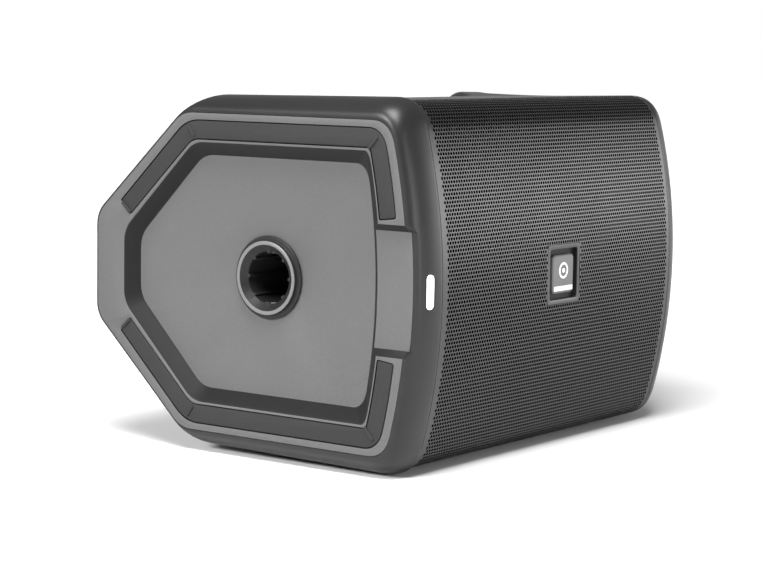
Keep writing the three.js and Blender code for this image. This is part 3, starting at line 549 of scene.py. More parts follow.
LOOKS = {
    "housing": surface("housing_plastic", grey(0.013), 0.38, grain=0.2, grain_scale=1400, sheen=0.32),
    "base": surface("base_plastic", grey(0.08), 0.62, grain=0.5, grain_scale=1600),
    # Painted shade: a much darker plastic for the recess's sloped wall, the grip notch's sides, the gaps
    # round the feet and the badge tray's floor.
    "painted_recess_shade": surface("painted_shade_plastic", grey(0.008), 0.55, grain=0.4, grain_scale=1600, sheen=0.2),
    "grille": surface("grille_coating", grey(0.014), 0.34, metallic=0.1, grain=0.15, grain_scale=2600),
    # Painted shade: near black for the grille sheet's back and the walls of its holes, so that the holes
    # look dark.
    "hole": surface("painted_hole_shade", grey(0.002), 0.9, sheen=0.0),
    "badge": surface("badge_metal", grey(0.11), 0.5, metallic=0.15, grain=0.1, grain_scale=2200),
    "print": surface("pale_print", grey(0.78), 0.45, grain=0.05),
    "rubber": surface("rubber", grey(0.026), 0.7, grain=0.6, grain_scale=1900, sheen=0.2),
    "socket": surface("socket_plastic", grey(0.012), 0.45, grain=0.3, grain_scale=1500, sheen=0.25),
    # Painted light: a much lighter plastic for the socket's face ring, which faces the key light.
    "socket_painted_light": surface("painted_light_plastic", grey(0.13), 0.35, grain=0.1, grain_scale=1500),
    "light": glowing("lit_lens", grey(0.9), 0.3, 2.2),
    "control": surface("black_plastic", grey(0.02), 0.48, grain=0.35, grain_scale=1500),
    "accent": surface("button_plastic", grey(0.45), 0.42, grain=0.15),
    "steel": surface("plain_steel", grey(0.52), 0.34, metallic=1, grain=0.1),
    "frame_metal": surface("painted_steel", grey(0.02), 0.5, grain=0.2),
    "board": surface("circuit_board", (0.015, 0.09, 0.035), 0.5, grain=0.2),
    "aluminium": surface("extruded_aluminium", grey(0.6), 0.4, metallic=1, grain=0.1),
    "paper": surface("coated_paper", grey(0.018), 0.8, grain=0.8, grain_scale=700),
    "copper": surface("copper", (0.65, 0.32, 0.16), 0.35, metallic=1, grain=0.1),
    "foam": surface("black_foam", grey(0.004), 0.95, grain=1.0, grain_scale=1200, sheen=0.05),
}


def dress_cad_nodes():
    """Gives every CAD node the look of its slot. Those that no piece replaces show it."""
    slots = {part["node"]: part["material_slot"] for part in frame["record"]["subparts"]}
    for name, obj in frame["nodes"].items():
        obj.data.materials.clear()
        obj.data.materials.append(LOOKS[slots[name]])


# ---------- base ----------

def two_tone(obj, picked, main="base", other="painted_recess_shade"):
    """Gives a piece one look on most faces, and another, by default painted shade, on the faces picked out.
    """
    obj.data.materials.append(LOOKS[main])
    obj.data.materials.append(LOOKS[other])
    for face in obj.data.polygons:
        face.material_index = int(picked(face))


def socket_ring(z, radius, like):
    """A circle round the socket, with one point for each point of an outline."""
    centre = np.array([0, SOCKET_Y])
    arms = like - centre
    arms = arms / np.linalg.norm(arms, axis=1)[:, None]
    return at_height(centre + arms * radius, z)


def fillet_rings():
    """The rounded outside of the base, from the body down to the flat rim."""
    start = inset(RIM_PLAN, -LAND)
    rings = []
    for step in range(FILLET_STEPS + 1):
        angle = (1 - step / FILLET_STEPS) * math.pi / 2
        z = RIM_Z + (BASE_TOP - RIM_Z) * (1 - math.cos(angle))
        rings.append(ring(between(start, BASE_PLAN, math.sin(angle)), z))
    return rings


def ring_rings():
    """The dark ring round the base: outside fillet, narrow land, seat for the plate, shelf and inside."""
    seat, shelf = inset(RIM_PLAN, -GAP), inset(RIM_PLAN, SHELF_INSET - GAP)
    step, inside = inset(BASE_PLAN, 12), inset(BASE_PLAN, 6)
    return fillet_rings() + [
        ring(seat, RIM_Z),
        ring(seat, SLAB_TOP + GAP),
        ring(shelf, SLAB_TOP + GAP),
        ring(shelf, FLOOR_Z + FLOOR_THICKNESS),
        ring(step, FLOOR_Z + FLOOR_THICKNESS + 0.01),
        ring(inside, FLOOR_Z + 9),
        ring(inside, BASE_TOP),
    ]


def plate_rings():
    """The grey plate: side, flat rim, sloped wall of the recess, floor with the socket's hole, and back."""
    lip = 1.3
    floor_back = FLOOR_Z + FLOOR_THICKNESS
    floor = outline(RECESS_FLOOR)
    hole = SOCKET_RADIUS + SOCKET_WALL + 0.5
    return [
        ring(RIM_PLAN, SLAB_TOP),
        ring(RIM_PLAN, RIM_Z),
        ring(inset(RECESS_EDGE, -lip), RIM_Z),
        ring(inset(RECESS_EDGE, -lip * 0.35), RIM_Z + 0.3),
        ring(between(RECESS_EDGE, RECESS_FLOOR, 0.12), RIM_Z + 1.2),
        ring(between(RECESS_EDGE, RECESS_FLOOR, 0.88), RIM_Z + 8.8),
        ring(inset(RECESS_FLOOR, 0.3), FLOOR_Z - 0.1),
        ring(inset(RECESS_FLOOR, 1.4), FLOOR_Z),
        socket_ring(FLOOR_Z, hole, floor),
        socket_ring(floor_back, hole, floor),
        ring(inset(RIM_PLAN, SHELF_INSET), floor_back),
        ring(inset(RIM_PLAN, SHELF_INSET), SLAB_TOP),
    ]


def on_recess_wall(face):
    """Whether a face of the plate is on the recess's sloped wall, by its height and its slope. These faces
    get painted shade.
    """
    margin = 0.0003
    above_rim = face.center.x > row_x(RIM_Z) + margin
    below_floor = face.center.x < row_x(FLOOR_Z) - margin
    return above_rim and below_floor and 0.3 < -face.normal.x < 0.97


def grip_notch():
    """The cutter for the notch at the front, wider towards the ground, with a grey floor and sides in
    painted shade, which it leaves on the plate.
    """
    past = 3
    slope = (NOTCH_RIM_HALF - NOTCH_FLOOR_HALF) / (NOTCH_FLOOR - RIM_Z)
    mouth = NOTCH_RIM_HALF + slope * past
    section = [
        (-NOTCH_FLOOR_HALF, NOTCH_FLOOR), (NOTCH_FLOOR_HALF, NOTCH_FLOOR),
        (mouth, RIM_Z - past), (-mouth, RIM_Z - past),
    ]
    notch = raised("notch", section, FRONT - past, -98, "y")
    two_tone(notch, lambda face: abs(face.normal.x) < 0.9)
    return notch


def notch_lip(margin, low, high):
    """The lip of the plate that reaches through the front of the rim at the bottom of the grip notch."""
    half = NOTCH_FLOOR_HALF + margin
    x = np.linspace(-half, half, 17)
    front = np.column_stack([x, front_arc(NOTCH_LIP - margin, x)])
    return raised("notch_lip", np.vstack([front, [(half, -120), (-half, -120)]]), low, high)


def foot_line():
    x = np.linspace(FOOT_START_X, FOOT_TURN_X, FOOT_STEPS)
    front = np.column_stack([x, front_arc(FOOT_FRONT_Y, x)])
    corner = bend(front[-1], (FOOT_SIDE_X, FOOT_CORNER_Y), (FOOT_SIDE_X, FOOT_SIDE_Y), FOOT_STEPS)
    side = rounded_corner((FOOT_SIDE_X, FOOT_SIDE_Y), (FOOT_SIDE_X, FOOT_BEND_Y), FOOT_END)
    return np.vstack([front, corner[1:], side, [FOOT_END]])


def strip_outline(line, half, corner):
    """An outline of even width along a line of points, with square ends whose corners are rounded."""
    along = np.gradient(line, axis=0)
    along[1:-1] = line[2:] - line[:-2]
    along /= np.linalg.norm(along, axis=1)[:, None]
    across = np.column_stack([along[:, 1], -along[:, 0]]) * half
    right, left = line + across, (line - across)[::-1]
    return np.vstack([
        rounded_corner(left[-1], right[0], right[1], corner), right[1:-1],
        rounded_corner(right[-2], right[-1], left[0], corner),
        rounded_corner(right[-1], left[0], left[1], corner), left[1:-1],
        rounded_corner(left[-2], left[-1], right[0], corner),
    ])


def lengthened(line, margin):
    """The line with both ends moved outwards by margin."""
    line = line.copy()
    for end, neighbour in ((0, 1), (-1, -2)):
        arm = line[end] - line[neighbour]
        line[end] += arm * margin / np.linalg.norm(arm)
    return line


def foot_outline(side, margin):
    points = strip_outline(lengthened(foot_line(), margin), FOOT_HALF + margin, FOOT_CORNER + margin)
    return points if side > 0 else mirrored(points)


def led_pill(name, margin, y0, y1):
    half, height = LED_HALF_LENGTH + margin, LED_HALF_HEIGHT + margin
    points = rounded_rectangle(half, height, LED_CORNER + margin, 14) + np.array([0, LED_Z])
    return raised(name, points, y0, y1, "y")


def make_ring():
    obj = through_rings("base_ring", ring_rings(), wrap=True)
    lip_slot = notch_lip(GAP, NOTCH_FLOOR - 2 * GAP, SLAB_TOP + 2 * GAP)
    carve(obj, [grip_notch(), lip_slot, led_pill("led_hole", GAP, FRONT - 5, LED_HOLE_BACK)])
    obj.data.materials.clear()  # drops the looks that the notch brings along
    settle(shade(soften(obj, 0.45, 3)), "cabinet", "housing", LOOKS["housing"], "bottom_cap")


def make_plate():
    obj = through_rings("base_panel", plate_rings(), wrap=True)
    # The recess's sloped wall gets painted shade.
    two_tone(obj, on_recess_wall)
    lip = notch_lip(0, NOTCH_FLOOR - 1, SLAB_TOP - 0.5)
    two_tone(lip, lambda face: False)
    carve(obj, [lip], "UNION")
    grooves = [
        raised("groove", foot_outline(side, GAP), RIM_Z - 3, FOOT_TOP + GAP) for side in (1, -1)
    ]
    # The grooves' walls get painted shade, which makes a dark gap round each foot.
    for groove in grooves:
        two_tone(groove, lambda face: True)
    carve(obj, [grip_notch(), *grooves])
    settle(shade(soften(obj, 0.45, 2)), "cabinet", "base", LOOKS["base"], "base_plate")


def make_feet():
    """Each strip has low ridges across it at its two bends and near its rear end."""
    for side, node in ((1, "foot_right"), (-1, "foot_left")):
        strip = raised(f"{node}_strip", foot_outline(side, -FOOT_CLEARANCE), FOOT_FACE, FOOT_TOP)
        soften(strip, 0.7, 3)
        settle(shade(strip), "cabinet", "rubber", LOOKS["rubber"], node)
        for number, ends in enumerate(FOOT_RIDGES, 1):
            points = strip_outline(np.array(ends, float) * (side, 1), RIDGE_HALF, RIDGE_CORNER)
            ridge = raised(f"{node}_ridge_{number}", points, 0.0, FOOT_FACE + 0.6)
            settle(shade(soften(ridge, 0.8, 4)), "cabinet", "rubber", LOOKS["rubber"])


def socket_profile():
    """Half of the socket's section: bore, funnel, face ring, collar, flange and tube. The face ring is
    painted lighter, as if lit.
    """
    face, end = SOCKET_FACE, SOCKET_TOP
    return [
        (0, end - 4), (SOCKET_RADIUS, end - 4),
        (SOCKET_RADIUS, face + 4), (23.1, face + 0.3), (23.4, face),
        (25, face), (25.7, face + 0.3), (COLLAR_RADIUS, face + 1),
        (COLLAR_RADIUS, FLANGE_Z - 0.3), (COLLAR_RADIUS + 0.4, FLANGE_Z),
        (FLANGE_RADIUS - 0.5, FLANGE_Z), (FLANGE_RADIUS, FLANGE_Z + 0.5), (FLANGE_RADIUS, FLOOR_Z - GAP),
        (SOCKET_RADIUS + SOCKET_WALL, FLOOR_Z - GAP), (SOCKET_RADIUS + SOCKET_WALL, end), (0, end),
    ]


def spin_about_socket(obj, angle):
    """Turns a piece made at the upright origin about the socket's line, which is X in the CAD's frame."""
    centre = Vector((0, 0, HALF_WIDTH / MM_PER_METRE))
    turn = Matrix.Translation(centre) @ Matrix.Rotation(angle, 4, "X") @ Matrix.Translation(-centre)
    obj.data.transform(Matrix.Translation((0, SOCKET_Y / MM_PER_METRE, 0)) @ turn)


def socket_rib(number):
    low = (SOCKET_RADIUS - 1.2, -RIB_HALF, SOCKET_FACE + 3.8)
    high = (SOCKET_RADIUS + SOCKET_WALL / 2, RIB_HALF, SOCKET_TOP - 12)
    rib = block(f"rib_{number}", low, high)
    spin_about_socket(rib, number * 2 * math.pi / RIB_COUNT)
    return rib


def make_socket():
    obj = turned("pole_socket_body", socket_profile(), (0, SOCKET_Y), "z", 128)
    # Faces at the socket's face level get painted light; the rest keep the dark socket plastic.
    ring_depth = row_x(SOCKET_FACE + 0.2)
    two_tone(obj, lambda face: face.center.x < ring_depth, "socket", "socket_painted_light")
    carve(obj, [socket_rib(number) for number in range(RIB_COUNT)], "UNION")
    settle(shade(soften(obj, 0.25, 2)), "cabinet", "socket", LOOKS["socket"], "pole_socket")


def make_led():
    """The light's lens, cut to the curve of the base ring."""
    solid = through_rings("lens_form", fillet_rings())
    lens = led_pill("led_lens", 0, FRONT - 5, LED_BACK)
    carve(lens, [solid], "INTERSECT")
    settle(shade(soften(lens, 0.3, 2)), "cabinet", "light", LOOKS["light"], "led_bar")


# ---------- body ----------

def body_rings(distance, extra):
    """The body's sides, distance inside its outer face: the base's outline, flaring into the body's own."""
    rings = [ring(inset(BASE_PLAN, distance), GRILLE_BOTTOM - extra)]
    for share in np.linspace(0, 1, 9):
        shape = between(BASE_PLAN, BODY_PLAN, eased(share))
        rings.append(ring(inset(shape, distance), GRILLE_BOTTOM + FLARE_START + FLARE_HEIGHT * share))
    rings.append(ring(inset(BODY_PLAN, distance), GRILLE_TOP + extra))
    return rings


def make_body():
    """The rear shell, open at the front, with holes for the control panel and the battery door."""
    obj = through_rings("body_shell", body_rings(0, 0))
    panel_low, panel_high = node_box("control_panel")
    door_low, door_high = node_box("battery_door")
    inwards, outwards = 30, 9
    carve(obj, [
        through_rings("hollow", body_rings(BODY_WALL, 3)),
        block("front_space", (-200, FRONT - 9, 0), (200, GRILLE_END + GAP, HEIGHT)),
        block("panel_hole", panel_low - (GAP, inwards, GAP), panel_high + (GAP, outwards, GAP)),
        block("door_hole", door_low - (0.5, inwards, 1.4), door_high + (0.5, outwards, 0.5)),
    ])
    soften(obj, 0.6, 2)
    settle(shade(obj), "cabinet", "housing", LOOKS["housing"], "rear_cabinet")


def top_plan(z, distance):
    """The top end's plan at height z: wider towards the rear, leaning back, rounded at its upper edge."""
    rise = min(max(z - CAP_BOTTOM, 0), CAP_HEIGHT)
    spare = CAP_HEIGHT - 2 * CAP_UPRIGHT
    along = (math.sqrt(CAP_UPRIGHT**2 + spare * rise) - CAP_UPRIGHT) / spare
    lean = CAP_FRONT_LEAN * along**2
    flare = eased(min(1, rise / (CAP_HEIGHT / 2)))
    edge = max(0, (rise - CAP_HEIGHT + CAP_EDGE) / CAP_EDGE)
    rounding = CAP_ROUNDING * (1 - math.sqrt(max(0, 1 - edge**2)))
    shape = inset(between(BODY_PLAN, TOP_PLAN, flare), distance + rounding)
    shape["front"] += lean
    shape["corner"] += lean * CAP_CORNER_LEAN
    shape["half"] -= CAP_SIDE_LEAN * along**2
    shape["arc"] -= CAP_SIDE_LEAN * along**2
    return shape


def top_rings(distance, top_z):
    """Rings up to top_z, closer together towards the rounded upper edge."""
    rings = []
    for angle in np.linspace(0, math.pi / 2, CAP_LEVELS):
        z = CAP_BOTTOM + CAP_HEIGHT * math.sin(angle)
        if z < top_z - 0.02:
            rings.append(ring(top_plan(z, distance), z))
    rings.append(ring(top_plan(top_z, distance), top_z))
    return rings


def make_top():
    """The top end: a shell with a tub let into it, in which the handle lies."""
    handle_low, handle_high = node_box("carry_handle")
    centre = ((handle_low + handle_high) / 2)[:2]
    half_x, half_y = (handle_high[0] - handle_low[0]) / 2 + GAP, POCKET_HALF_DEPTH
    obj = through_rings("top_shell", top_rings(0, HEIGHT))
    hollow = top_rings(BODY_WALL, HEIGHT - BODY_WALL)
    hollow[0][:, 2] -= 3  # opens the underside
    carve(obj, [through_rings("hollow", hollow)])
    around_tub = rounded_rectangle(half_x + TUB_WALL, half_y + TUB_WALL, TUB_CORNER) + centre
    around_pocket = rounded_rectangle(half_x, half_y, 0.01, 2) + centre
    tub = raised("tub", around_tub, POCKET_FLOOR - TUB_WALL, HEIGHT - 2)
    pocket = raised("pocket", around_pocket, POCKET_FLOOR, HEIGHT + 5)
    carve(obj, [tub], "UNION")
    carve(obj, [pocket])
    soften(obj, 1.2, 3)
    settle(shade(obj), "cabinet", "housing", LOOKS["housing"], "top_cap")


def make_handle():
    """A soft rubber sleeve with shallow ribs round it between its two plain ends."""
    pitch, swell, plain_end = 7.5, 0.018, 8
    low, high = node_box("carry_handle")
    centre = (low + high) / 2
    half = (high - low) / 2
    section = rounded_rectangle(half[1], half[2], 7.5, 12)
    rings = []
    for x in np.linspace(low[0], high[0], 90):
        wave = 1 + math.cos((x - low[0]) * 2 * math.pi / pitch)
        size = 1 - swell * wave * (abs(x) < half[0] - plain_end)
        rings.append(np.column_stack([np.full(len(section), x), section * size + centre[1:]]))
    obj = through_rings("handle_sleeve", rings)
    settle(shade(soften(obj, 0.6, 2, 50)), "cabinet", "rubber", LOOKS["rubber"], "carry_handle")


# ---------- grille ----------

def grille_path():
    """Arc length, position and outward direction along the sheet's outer face, from left to right."""
    edge = front_half(BODY_PLAN)
    run = BODY_PLAN["side_end"] - edge[-1][1]
    share = (GRILLE_END - edge[-1][1]) / run
    last = edge[-1] + share * (np.array([BODY_PLAN["side_half"], BODY_PLAN["side_end"]]) - edge[-1])
    right = np.vstack([edge, np.linspace(edge[-1], last, 12)[1:]])
    points = np.vstack([mirrored(right), right[1:]])
    length = np.concatenate([[0], np.cumsum(np.linalg.norm(np.diff(points, axis=0), axis=1))])
    length -= length[-1] / 2
    along = np.gradient(points, length, axis=0)
    along /= np.linalg.norm(along, axis=1)[:, None]
    return length, points, np.column_stack([along[:, 1], -along[:, 0]])


PATH_LENGTH, PATH_POINTS, PATH_NORMALS = grille_path()


def on_sheet(run, z, depth):
    """Points depth millimetres behind the sheet's outer face."""
    x = np.interp(run, PATH_LENGTH, PATH_POINTS[:, 0])
    y = np.interp(run, PATH_LENGTH, PATH_POINTS[:, 1])
    nx = np.interp(run, PATH_LENGTH, PATH_NORMALS[:, 0])
    ny = np.interp(run, PATH_LENGTH, PATH_NORMALS[:, 1])
    return np.column_stack([x - nx * depth, y - ny * depth, z])


def sheet_grid():
    """Column and half-row lines of the perforation, which the badge's square window fits exactly."""
    reach = PATH_LENGTH[-1] - SIDE_MARGIN
    columns = int(reach / COLUMN)
    runs = np.concatenate([
        [PATH_LENGTH[0]], np.arange(-columns, columns + 1) * COLUMN, [PATH_LENGTH[-1]],
    ])
    window_low = BADGE_Z - BADGE_HALF_HEIGHT
    below = int((window_low - GRILLE_BOTTOM - BOTTOM_MARGIN) / HALF_ROW)
    above = int((GRILLE_TOP - TOP_MARGIN - window_low) / HALF_ROW)
    heights = np.concatenate([
        [GRILLE_BOTTOM], window_low + np.arange(-below, above + 1) * HALF_ROW, [GRILLE_TOP],
    ])
    return runs, heights


def in_badge_window(run, z):
    room = 0.01
    return abs(run) < BADGE_HALF_COLUMNS * COLUMN - room and abs(z - BADGE_Z) < BADGE_HALF_HEIGHT - room


def perforated_piece(name, runs, heights, first, last):
    """One part of the sheet, from column line first to last, with a six-sided hole in each whole cell.
    A whole cell is one column wide and two half rows high, staggered from column to column."""
    rows = len(heights)
    grid_run, grid_z = np.meshgrid(runs, heights, indexing="ij")
    points = [np.column_stack([grid_run.ravel(), grid_z.ravel()])]
    total = grid_run.size
    angles = np.radians(HOLE_CORNERS)
    hexagon = HOLE_RADIUS * np.column_stack([np.cos(angles), np.sin(angles)])
    faces = []

    def corner(column, row):
        return column * rows + row

    def blank(column, row):
        return in_badge_window((runs[column] + runs[column + 1]) / 2, (heights[row] + heights[row + 1]) / 2)

    def add_plain(column, row):
        if not blank(column, row):
            faces.append((
                corner(column, row), corner(column + 1, row),
                corner(column + 1, row + 1), corner(column, row + 1),
            ))

    def add_holed(column, row, start):
        border = (
            corner(column, row + 1), corner(column, row), corner(column + 1, row),
            corner(column + 1, row + 1), corner(column + 1, row + 2), corner(column, row + 2),
        )
        points.append(hexagon + ((runs[column] + runs[column + 1]) / 2, heights[row + 1]))
        for i in range(6):
            j = (i + 1) % 6
            faces.append((border[i], border[j], start + j, start + i))

    for column in range(first, last):
        edge_column = column in (0, len(runs) - 2)
        row = 0
        while row < rows - 1:
            whole = (
                not edge_column and 0 < row < rows - 3 and (row - 1) % 2 == column % 2
                and not blank(column, row) and not blank(column, row + 1)
            )
            if whole:
                add_holed(column, row, total)
                total += 6
                row += 2
            else:
                add_plain(column, row)
                row += 1
    return close_sheet(name, np.vstack(points), np.array(faces))


def close_sheet(name, flat, faces):
    """Gives a flat pattern of quads its thickness, with a wall along every open edge. The front faces get
    the grille's coating, and the back and the walls a near-black painted shade that makes the holes look
    dark."""
    edges = np.stack([faces, np.roll(faces, -1, axis=1)], axis=2).reshape(-1, 2)
    keys = np.sort(edges, axis=1)
    _, inverse, counts = np.unique(keys, axis=0, return_inverse=True, return_counts=True)
    open_edges = edges[counts[inverse.ravel()] == 1]
    used, packed = np.unique(faces, return_inverse=True)
    lookup = np.full(len(flat), -1)
    lookup[used] = np.arange(len(used))
    faces, open_edges, flat = packed.reshape(faces.shape), lookup[open_edges], flat[used]
    count = len(flat)
    front = on_sheet(flat[:, 0], flat[:, 1], 0.0)
    back = on_sheet(flat[:, 0], flat[:, 1], GRILLE_THICKNESS)
    start, end = open_edges.T
    walls = np.column_stack([end, start, start + count, end + count])
    quads = np.vstack([faces, faces[:, ::-1] + count, walls])
    obj = new_object(name, np.vstack([front, back]), quads.tolist())
    obj.data.materials.append(LOOKS["grille"])
    obj.data.materials.append(LOOKS["hole"])
    looks = np.zeros(len(quads), int)
    looks[len(faces):] = 1
    obj.data.polygons.foreach_set("material_index", looks)
    return obj


def make_grille():
    """The sheet in parts side by side, the first of which stands for the CAD's grille."""
    runs, heights = sheet_grid()
    lines = len(runs) - 1
    cuts = [round(lines * part / GRILLE_SHEETS) for part in range(GRILLE_SHEETS + 1)]
    for number, (first, last) in enumerate(zip(cuts, cuts[1:]), 1):
        obj = perforated_piece(f"grille_sheet_{number}", runs, heights, first, last)
        settle(shade(obj, 40), "cabinet", "grille", LOOKS["grille"])
        if number == 1:
            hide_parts("grille")


def make_foam():
    """A thin sheet of open black foam behind the grille, as such speakers have."""
    side_room, end_room, badge_half = 4, 2, 23
    run = np.linspace(PATH_LENGTH[0] + side_room, PATH_LENGTH[-1] - side_room, 140)
    rings = []
    for z in (GRILLE_BOTTOM + end_room, GRILLE_TOP - end_room):
        level = np.full(len(run), z)
        rings.append(np.vstack([on_sheet(run, level, FOAM_FRONT), on_sheet(run, level, FOAM_BACK)[::-1]]))
    obj = through_rings("grille_foam", rings)
    low = (-badge_half, FRONT - 5, BADGE_Z - badge_half)
    high = (badge_half, FRONT + 12, BADGE_Z + badge_half)
    carve(obj, [block("badge_space", low, high)])
    settle(shade(obj), "cabinet", "paper", LOOKS["foam"])


# ---------- badge ----------

def square(half, radius):
    return rounded_rectangle(half, half, radius) + np.array([0, BADGE_Z])


def make_tray():
    """The badge's tray: a border round a pocket whose floor gets painted shade."""
    low, high = node_box("badge_frame")
    front, back = low[1], high[1]
    border = [
        (BADGE_TRAY_HALF, front + 0.1), (19.6, front), (BADGE_POCKET_HALF + 0.1, front + 0.25),
        (BADGE_POCKET_HALF, front + 1),
    ]
    obj = through_rings("badge_tray", [
        at_depth(square(BADGE_TRAY_HALF, 2), back),
        *[at_depth(square(half, 2), y) for half, y in border],
        at_depth(square(BADGE_POCKET_HALF, 2), BADGE_TRAY_FLOOR),
    ])
    floor = BADGE_TRAY_FLOOR / MM_PER_METRE
    two_tone(obj, lambda face: abs(face.center.y - floor) < 0.0001, "grille", "painted_recess_shade")
    settle(shade(obj, 25), "cabinet", "grille", LOOKS["grille"], "badge_frame")


def make_badge():
    face = node_box("badge_plate")[0][1]
    outer, inner = square(BADGE_HALF, BADGE_CORNER), square(BADGE_HALF - 0.9, BADGE_CORNER - 0.7)
    obj = through_rings("badge_face", [
        at_depth(outer, BADGE_BACK), at_depth(outer, face + 0.7), at_depth(inner, face),
    ])
    settle(shade(obj, 25), "badge", "badge", LOOKS["badge"], "badge_plate")
    make_mark(face + MARK_SUNK, face - MARK_RAISED)


def make_mark(back, front):
    """A plain ring with a dot, and a pale stripe on the side that is lower while the speaker lies down."""
    centre = (-2.4, BADGE_Z)
    ring_profile = [(5.9, back), (5.9, front), (4.3, front), (4.3, back)]
    mark = turned("badge_ring", ring_profile, centre, "y", 64)
    dot = turned("badge_dot", [(0, back), (1.7, back), (1.7, front), (0, front)], centre, "y", 32)
    around_stripe = rounded_rectangle(1.7, 12.4, 0.4) + np.array([10.4, BADGE_Z])
    stripe = raised("badge_stripe", around_stripe, front, back, "y")
    for obj in (mark, dot, stripe):
        settle(shade(obj), "badge", "badge", LOOKS["print"])


# ---------- controls ----------

def face_centre(low, high):
    """Middle of a box as seen from the rear, and half its width."""
    return ((low[0] + high[0]) / 2, (low[2] + high[2]) / 2), (high[0] - low[0]) / 2


def make_knob(node, body):
    """A fluted knob on a wide skirt, with a pale pointer."""
    low, high = node_box(node)
    (x, z), radius = face_centre(low, high)
    foot, top = KNOB_FOOT_Y, KNOB_TOP_Y
    skirt = [
        (0, low[1]), (KNOB_SHAFT, low[1]), (KNOB_SHAFT, foot),
        (radius - 0.3, foot), (radius, foot + 0.4), (radius, foot + 1.9), (radius - 0.5, foot + 2.3),
    ]
    grip = [(radius - 1.2, foot + 2.6), (radius - 1.4, top - 1.4), (radius - 1.9, top - 0.4)]
    cap = [(radius - 2.8, top), (0, top)]
    fluted = range(len(skirt), len(skirt) + len(grip))
    profile = skirt + grip + cap
    obj = turned(f"{node}_body", profile, (x, z), "y", 96, KNOB_FLUTES, FLUTE_DEPTH, fluted)
    settle(shade(obj, 28), body, "control", LOOKS["control"], node)
    pointer_low = (x - 0.55, foot + 6, z + 1)
    pointer_high = (x + 0.55, top + 0.45, z + radius - 1.6)
    pointer = block(f"{node}_pointer", pointer_low, pointer_high)
    settle(shade(soften(pointer, 0.2, 2)), body, "control", LOOKS["print"])


def make_button(node, body):
    """A round button with a slightly dished face."""
    low, high = node_box(node)
    centre, radius = face_centre(low, high)
    face = high[1]
    profile = [
        (0, low[1]), (radius, low[1]), (radius, face - 0.7), (radius - 0.25, face - 0.2),
        (radius - 0.8, face), (radius * 0.6, face - 0.15), (0, face - 0.4),
    ]
    obj = turned(f"{node}_cap", profile, centre, "y", 48)
    settle(shade(obj, 28), body, "accent", LOOKS["accent"], node)


def make_controls():
    """A knob or button for each CAD node whose name says it is one, on its own body."""
    for body, nodes in frame["record"]["behaviour"]["bodies"].items():
        for node in nodes:
            if node.endswith("_knob"):
                make_knob(node, body)
            if node.endswith("_button"):
                make_button(node, body)


# ---------- camera, lights and floor ----------

VIEW_WIDTH = 762
FOCAL_LENGTH = 2190.7  # in the same unit as VIEW_WIDTH
SENSOR = 36.0
CAMERA_PLACE = (-1.3594, -0.9674, 0.2909)
CAMERA_YAW, CAMERA_PITCH, CAMERA_ROLL = 36.32, 6.22, 0.9
CAMERA_REACH = 20


def make_camera():
    """The camera that sees the base and the grille. Its pitch is downwards, in degrees like the others."""
    yaw, pitch, roll = (math.radians(a) for a in (CAMERA_YAW, CAMERA_PITCH, CAMERA_ROLL))
    ahead = Vector((math.cos(yaw) * math.cos(pitch), math.sin(yaw) * math.cos(pitch), -math.sin(pitch)))
    right = ahead.cross(Vector((0, 0, 1))).normalized()
    up = right.cross(ahead)
    tilted_right = math.cos(roll) * right + math.sin(roll) * up
    tilted_up = math.cos(roll) * up - math.sin(roll) * right
    data = bpy.data.cameras.new("camera")
    data.sensor_width = SENSOR
    data.lens = FOCAL_LENGTH * SENSOR / VIEW_WIDTH
    data.clip_end = CAMERA_REACH
    camera = bpy.data.objects.new("camera", data)
    turn = Matrix((tilted_right, tilted_up, -ahead)).transposed()
    camera.matrix_world = Matrix.Translation(CAMERA_PLACE) @ turn.to_4x4()
    bpy.context.scene.collection.objects.link(camera)
    bpy.context.scene.camera = camera


def make_light(name, place, size, power, target=(0, 0, 0.13)):
    """A rectangular soft light at place that points at target, by default the middle of the speaker."""
    data = bpy.data.lights.new(name, "AREA")
    data.shape = "RECTANGLE"
    data.size, data.size_y = size
    data.energy = power
    light = bpy.data.objects.new(name, data)
    light.location = place
    aim = Vector(target) - Vector(place)
    light.rotation_euler = aim.to_track_quat("-Z", "Y").to_euler()
    bpy.context.scene.collection.objects.link(light)


def make_sun(name, towards, strength, softness):
    """A distant light that comes from the given direction."""
    data = bpy.data.lights.new(name, "SUN")
    data.energy = strength
    data.angle = math.radians(softness)
    light = bpy.data.objects.new(name, data)
    light.rotation_euler = Vector(towards).to_track_quat("Z", "Y").to_euler()
    bpy.context.scene.collection.objects.link(light)


def make_floor():
    """A pale floor that glows away from the speaker, so that it meets the white background unseen."""
    half, drop = 9, 0.0004
    corners = [(-half, -half, 0), (half, -half, 0), (half, half, 0), (-half, half, 0)]
    mesh = bpy.data.meshes.new("floor")
    mesh.from_pydata(corners, [], [(0, 1, 2, 3)])
    floor = bpy.data.objects.new("floor", mesh)
    floor.location.z = -drop
    bpy.context.scene.collection.objects.link(floor)
    mesh.materials.append(floor_material())


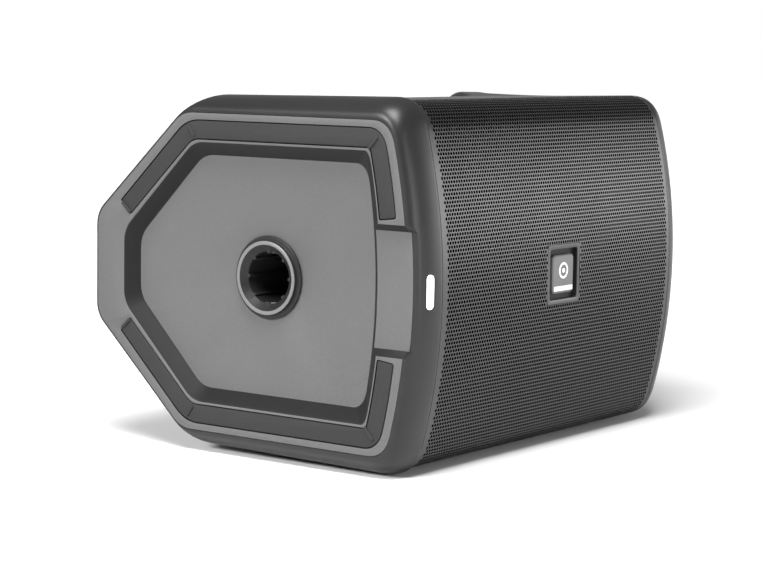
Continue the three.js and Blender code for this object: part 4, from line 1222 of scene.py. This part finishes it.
def floor_material():
    glow_from, glow_to, glow = 0.3, 1.4, 0.5
    material, tree, shader = new_material("pale_floor")
    shader.inputs["Base Color"].default_value = (0.88, 0.88, 0.88, 1)
    shader.inputs["Roughness"].default_value = 0.9
    shader.inputs["Specular IOR Level"].default_value = 0.1
    shader.inputs["Emission Color"].default_value = WHITE
    place = tree.nodes.new("ShaderNodeTexCoord")
    reach = tree.nodes.new("ShaderNodeVectorMath")
    reach.operation = "LENGTH"
    tree.links.new(place.outputs["Object"], reach.inputs[0])
    strength = remapped(tree, reach.outputs["Value"], (glow_from, glow_to), (0.0, glow), "SMOOTHSTEP")
    tree.links.new(strength, shader.inputs["Emission Strength"])
    return material


def make_world():
    """White beyond the speaker, dimmer overhead and behind the camera, like a white sweep in a dark room."""
    beyond, overhead, behind = (0.8, 0.6, 0), 0.22, 0.3
    world = bpy.data.worlds.new("studio")
    world.use_nodes = True
    tree = world.node_tree
    place = tree.nodes.new("ShaderNodeTexCoord")
    split = tree.nodes.new("ShaderNodeSeparateXYZ")
    tree.links.new(place.outputs["Generated"], split.inputs["Vector"])
    fade = remapped(tree, split.outputs["Z"], (0.05, 0.35), (1.0, overhead), "SMOOTHSTEP")
    ahead = tree.nodes.new("ShaderNodeVectorMath")
    ahead.operation = "DOT_PRODUCT"
    ahead.inputs[1].default_value = beyond
    tree.links.new(place.outputs["Generated"], ahead.inputs[0])
    sweep = remapped(tree, ahead.outputs["Value"], (-0.5, 0.3), (behind, 1.0))
    product = tree.nodes.new("ShaderNodeMath")
    product.operation = "MULTIPLY"
    tree.links.new(fade, product.inputs[0])
    tree.links.new(sweep, product.inputs[1])
    background = tree.nodes["Background"]
    tree.links.new(product.outputs["Value"], background.inputs["Strength"])
    background.inputs["Color"].default_value = WHITE
    bpy.context.scene.world = world
    bpy.context.scene.view_settings.view_transform = "Standard"


def make_lights():
    make_sun("key", towards=(-0.85, 0.3, 0.5), strength=3.4, softness=16)
    make_light("overhead", place=(-0.62, -0.38, 1.6), size=(0.9, 0.8), power=48, target=(-0.18, -0.1, 0.2))
    make_light("front", place=(-0.35, -2.0, 0.35), size=(0.5, 0.8), power=11)
    make_light("sheen", place=(1.4, -1.15, 0.35), size=(0.8, 0.5), power=8)


make_camera()
make_world()
make_floor()
make_lights()
dress_cad_nodes()
make_ring()
make_plate()
make_feet()
make_socket()
make_led()
make_body()
make_top()
make_handle()
make_grille()
make_foam()
make_tray()
make_badge()
make_controls()

bpy.context.view_layer.update()
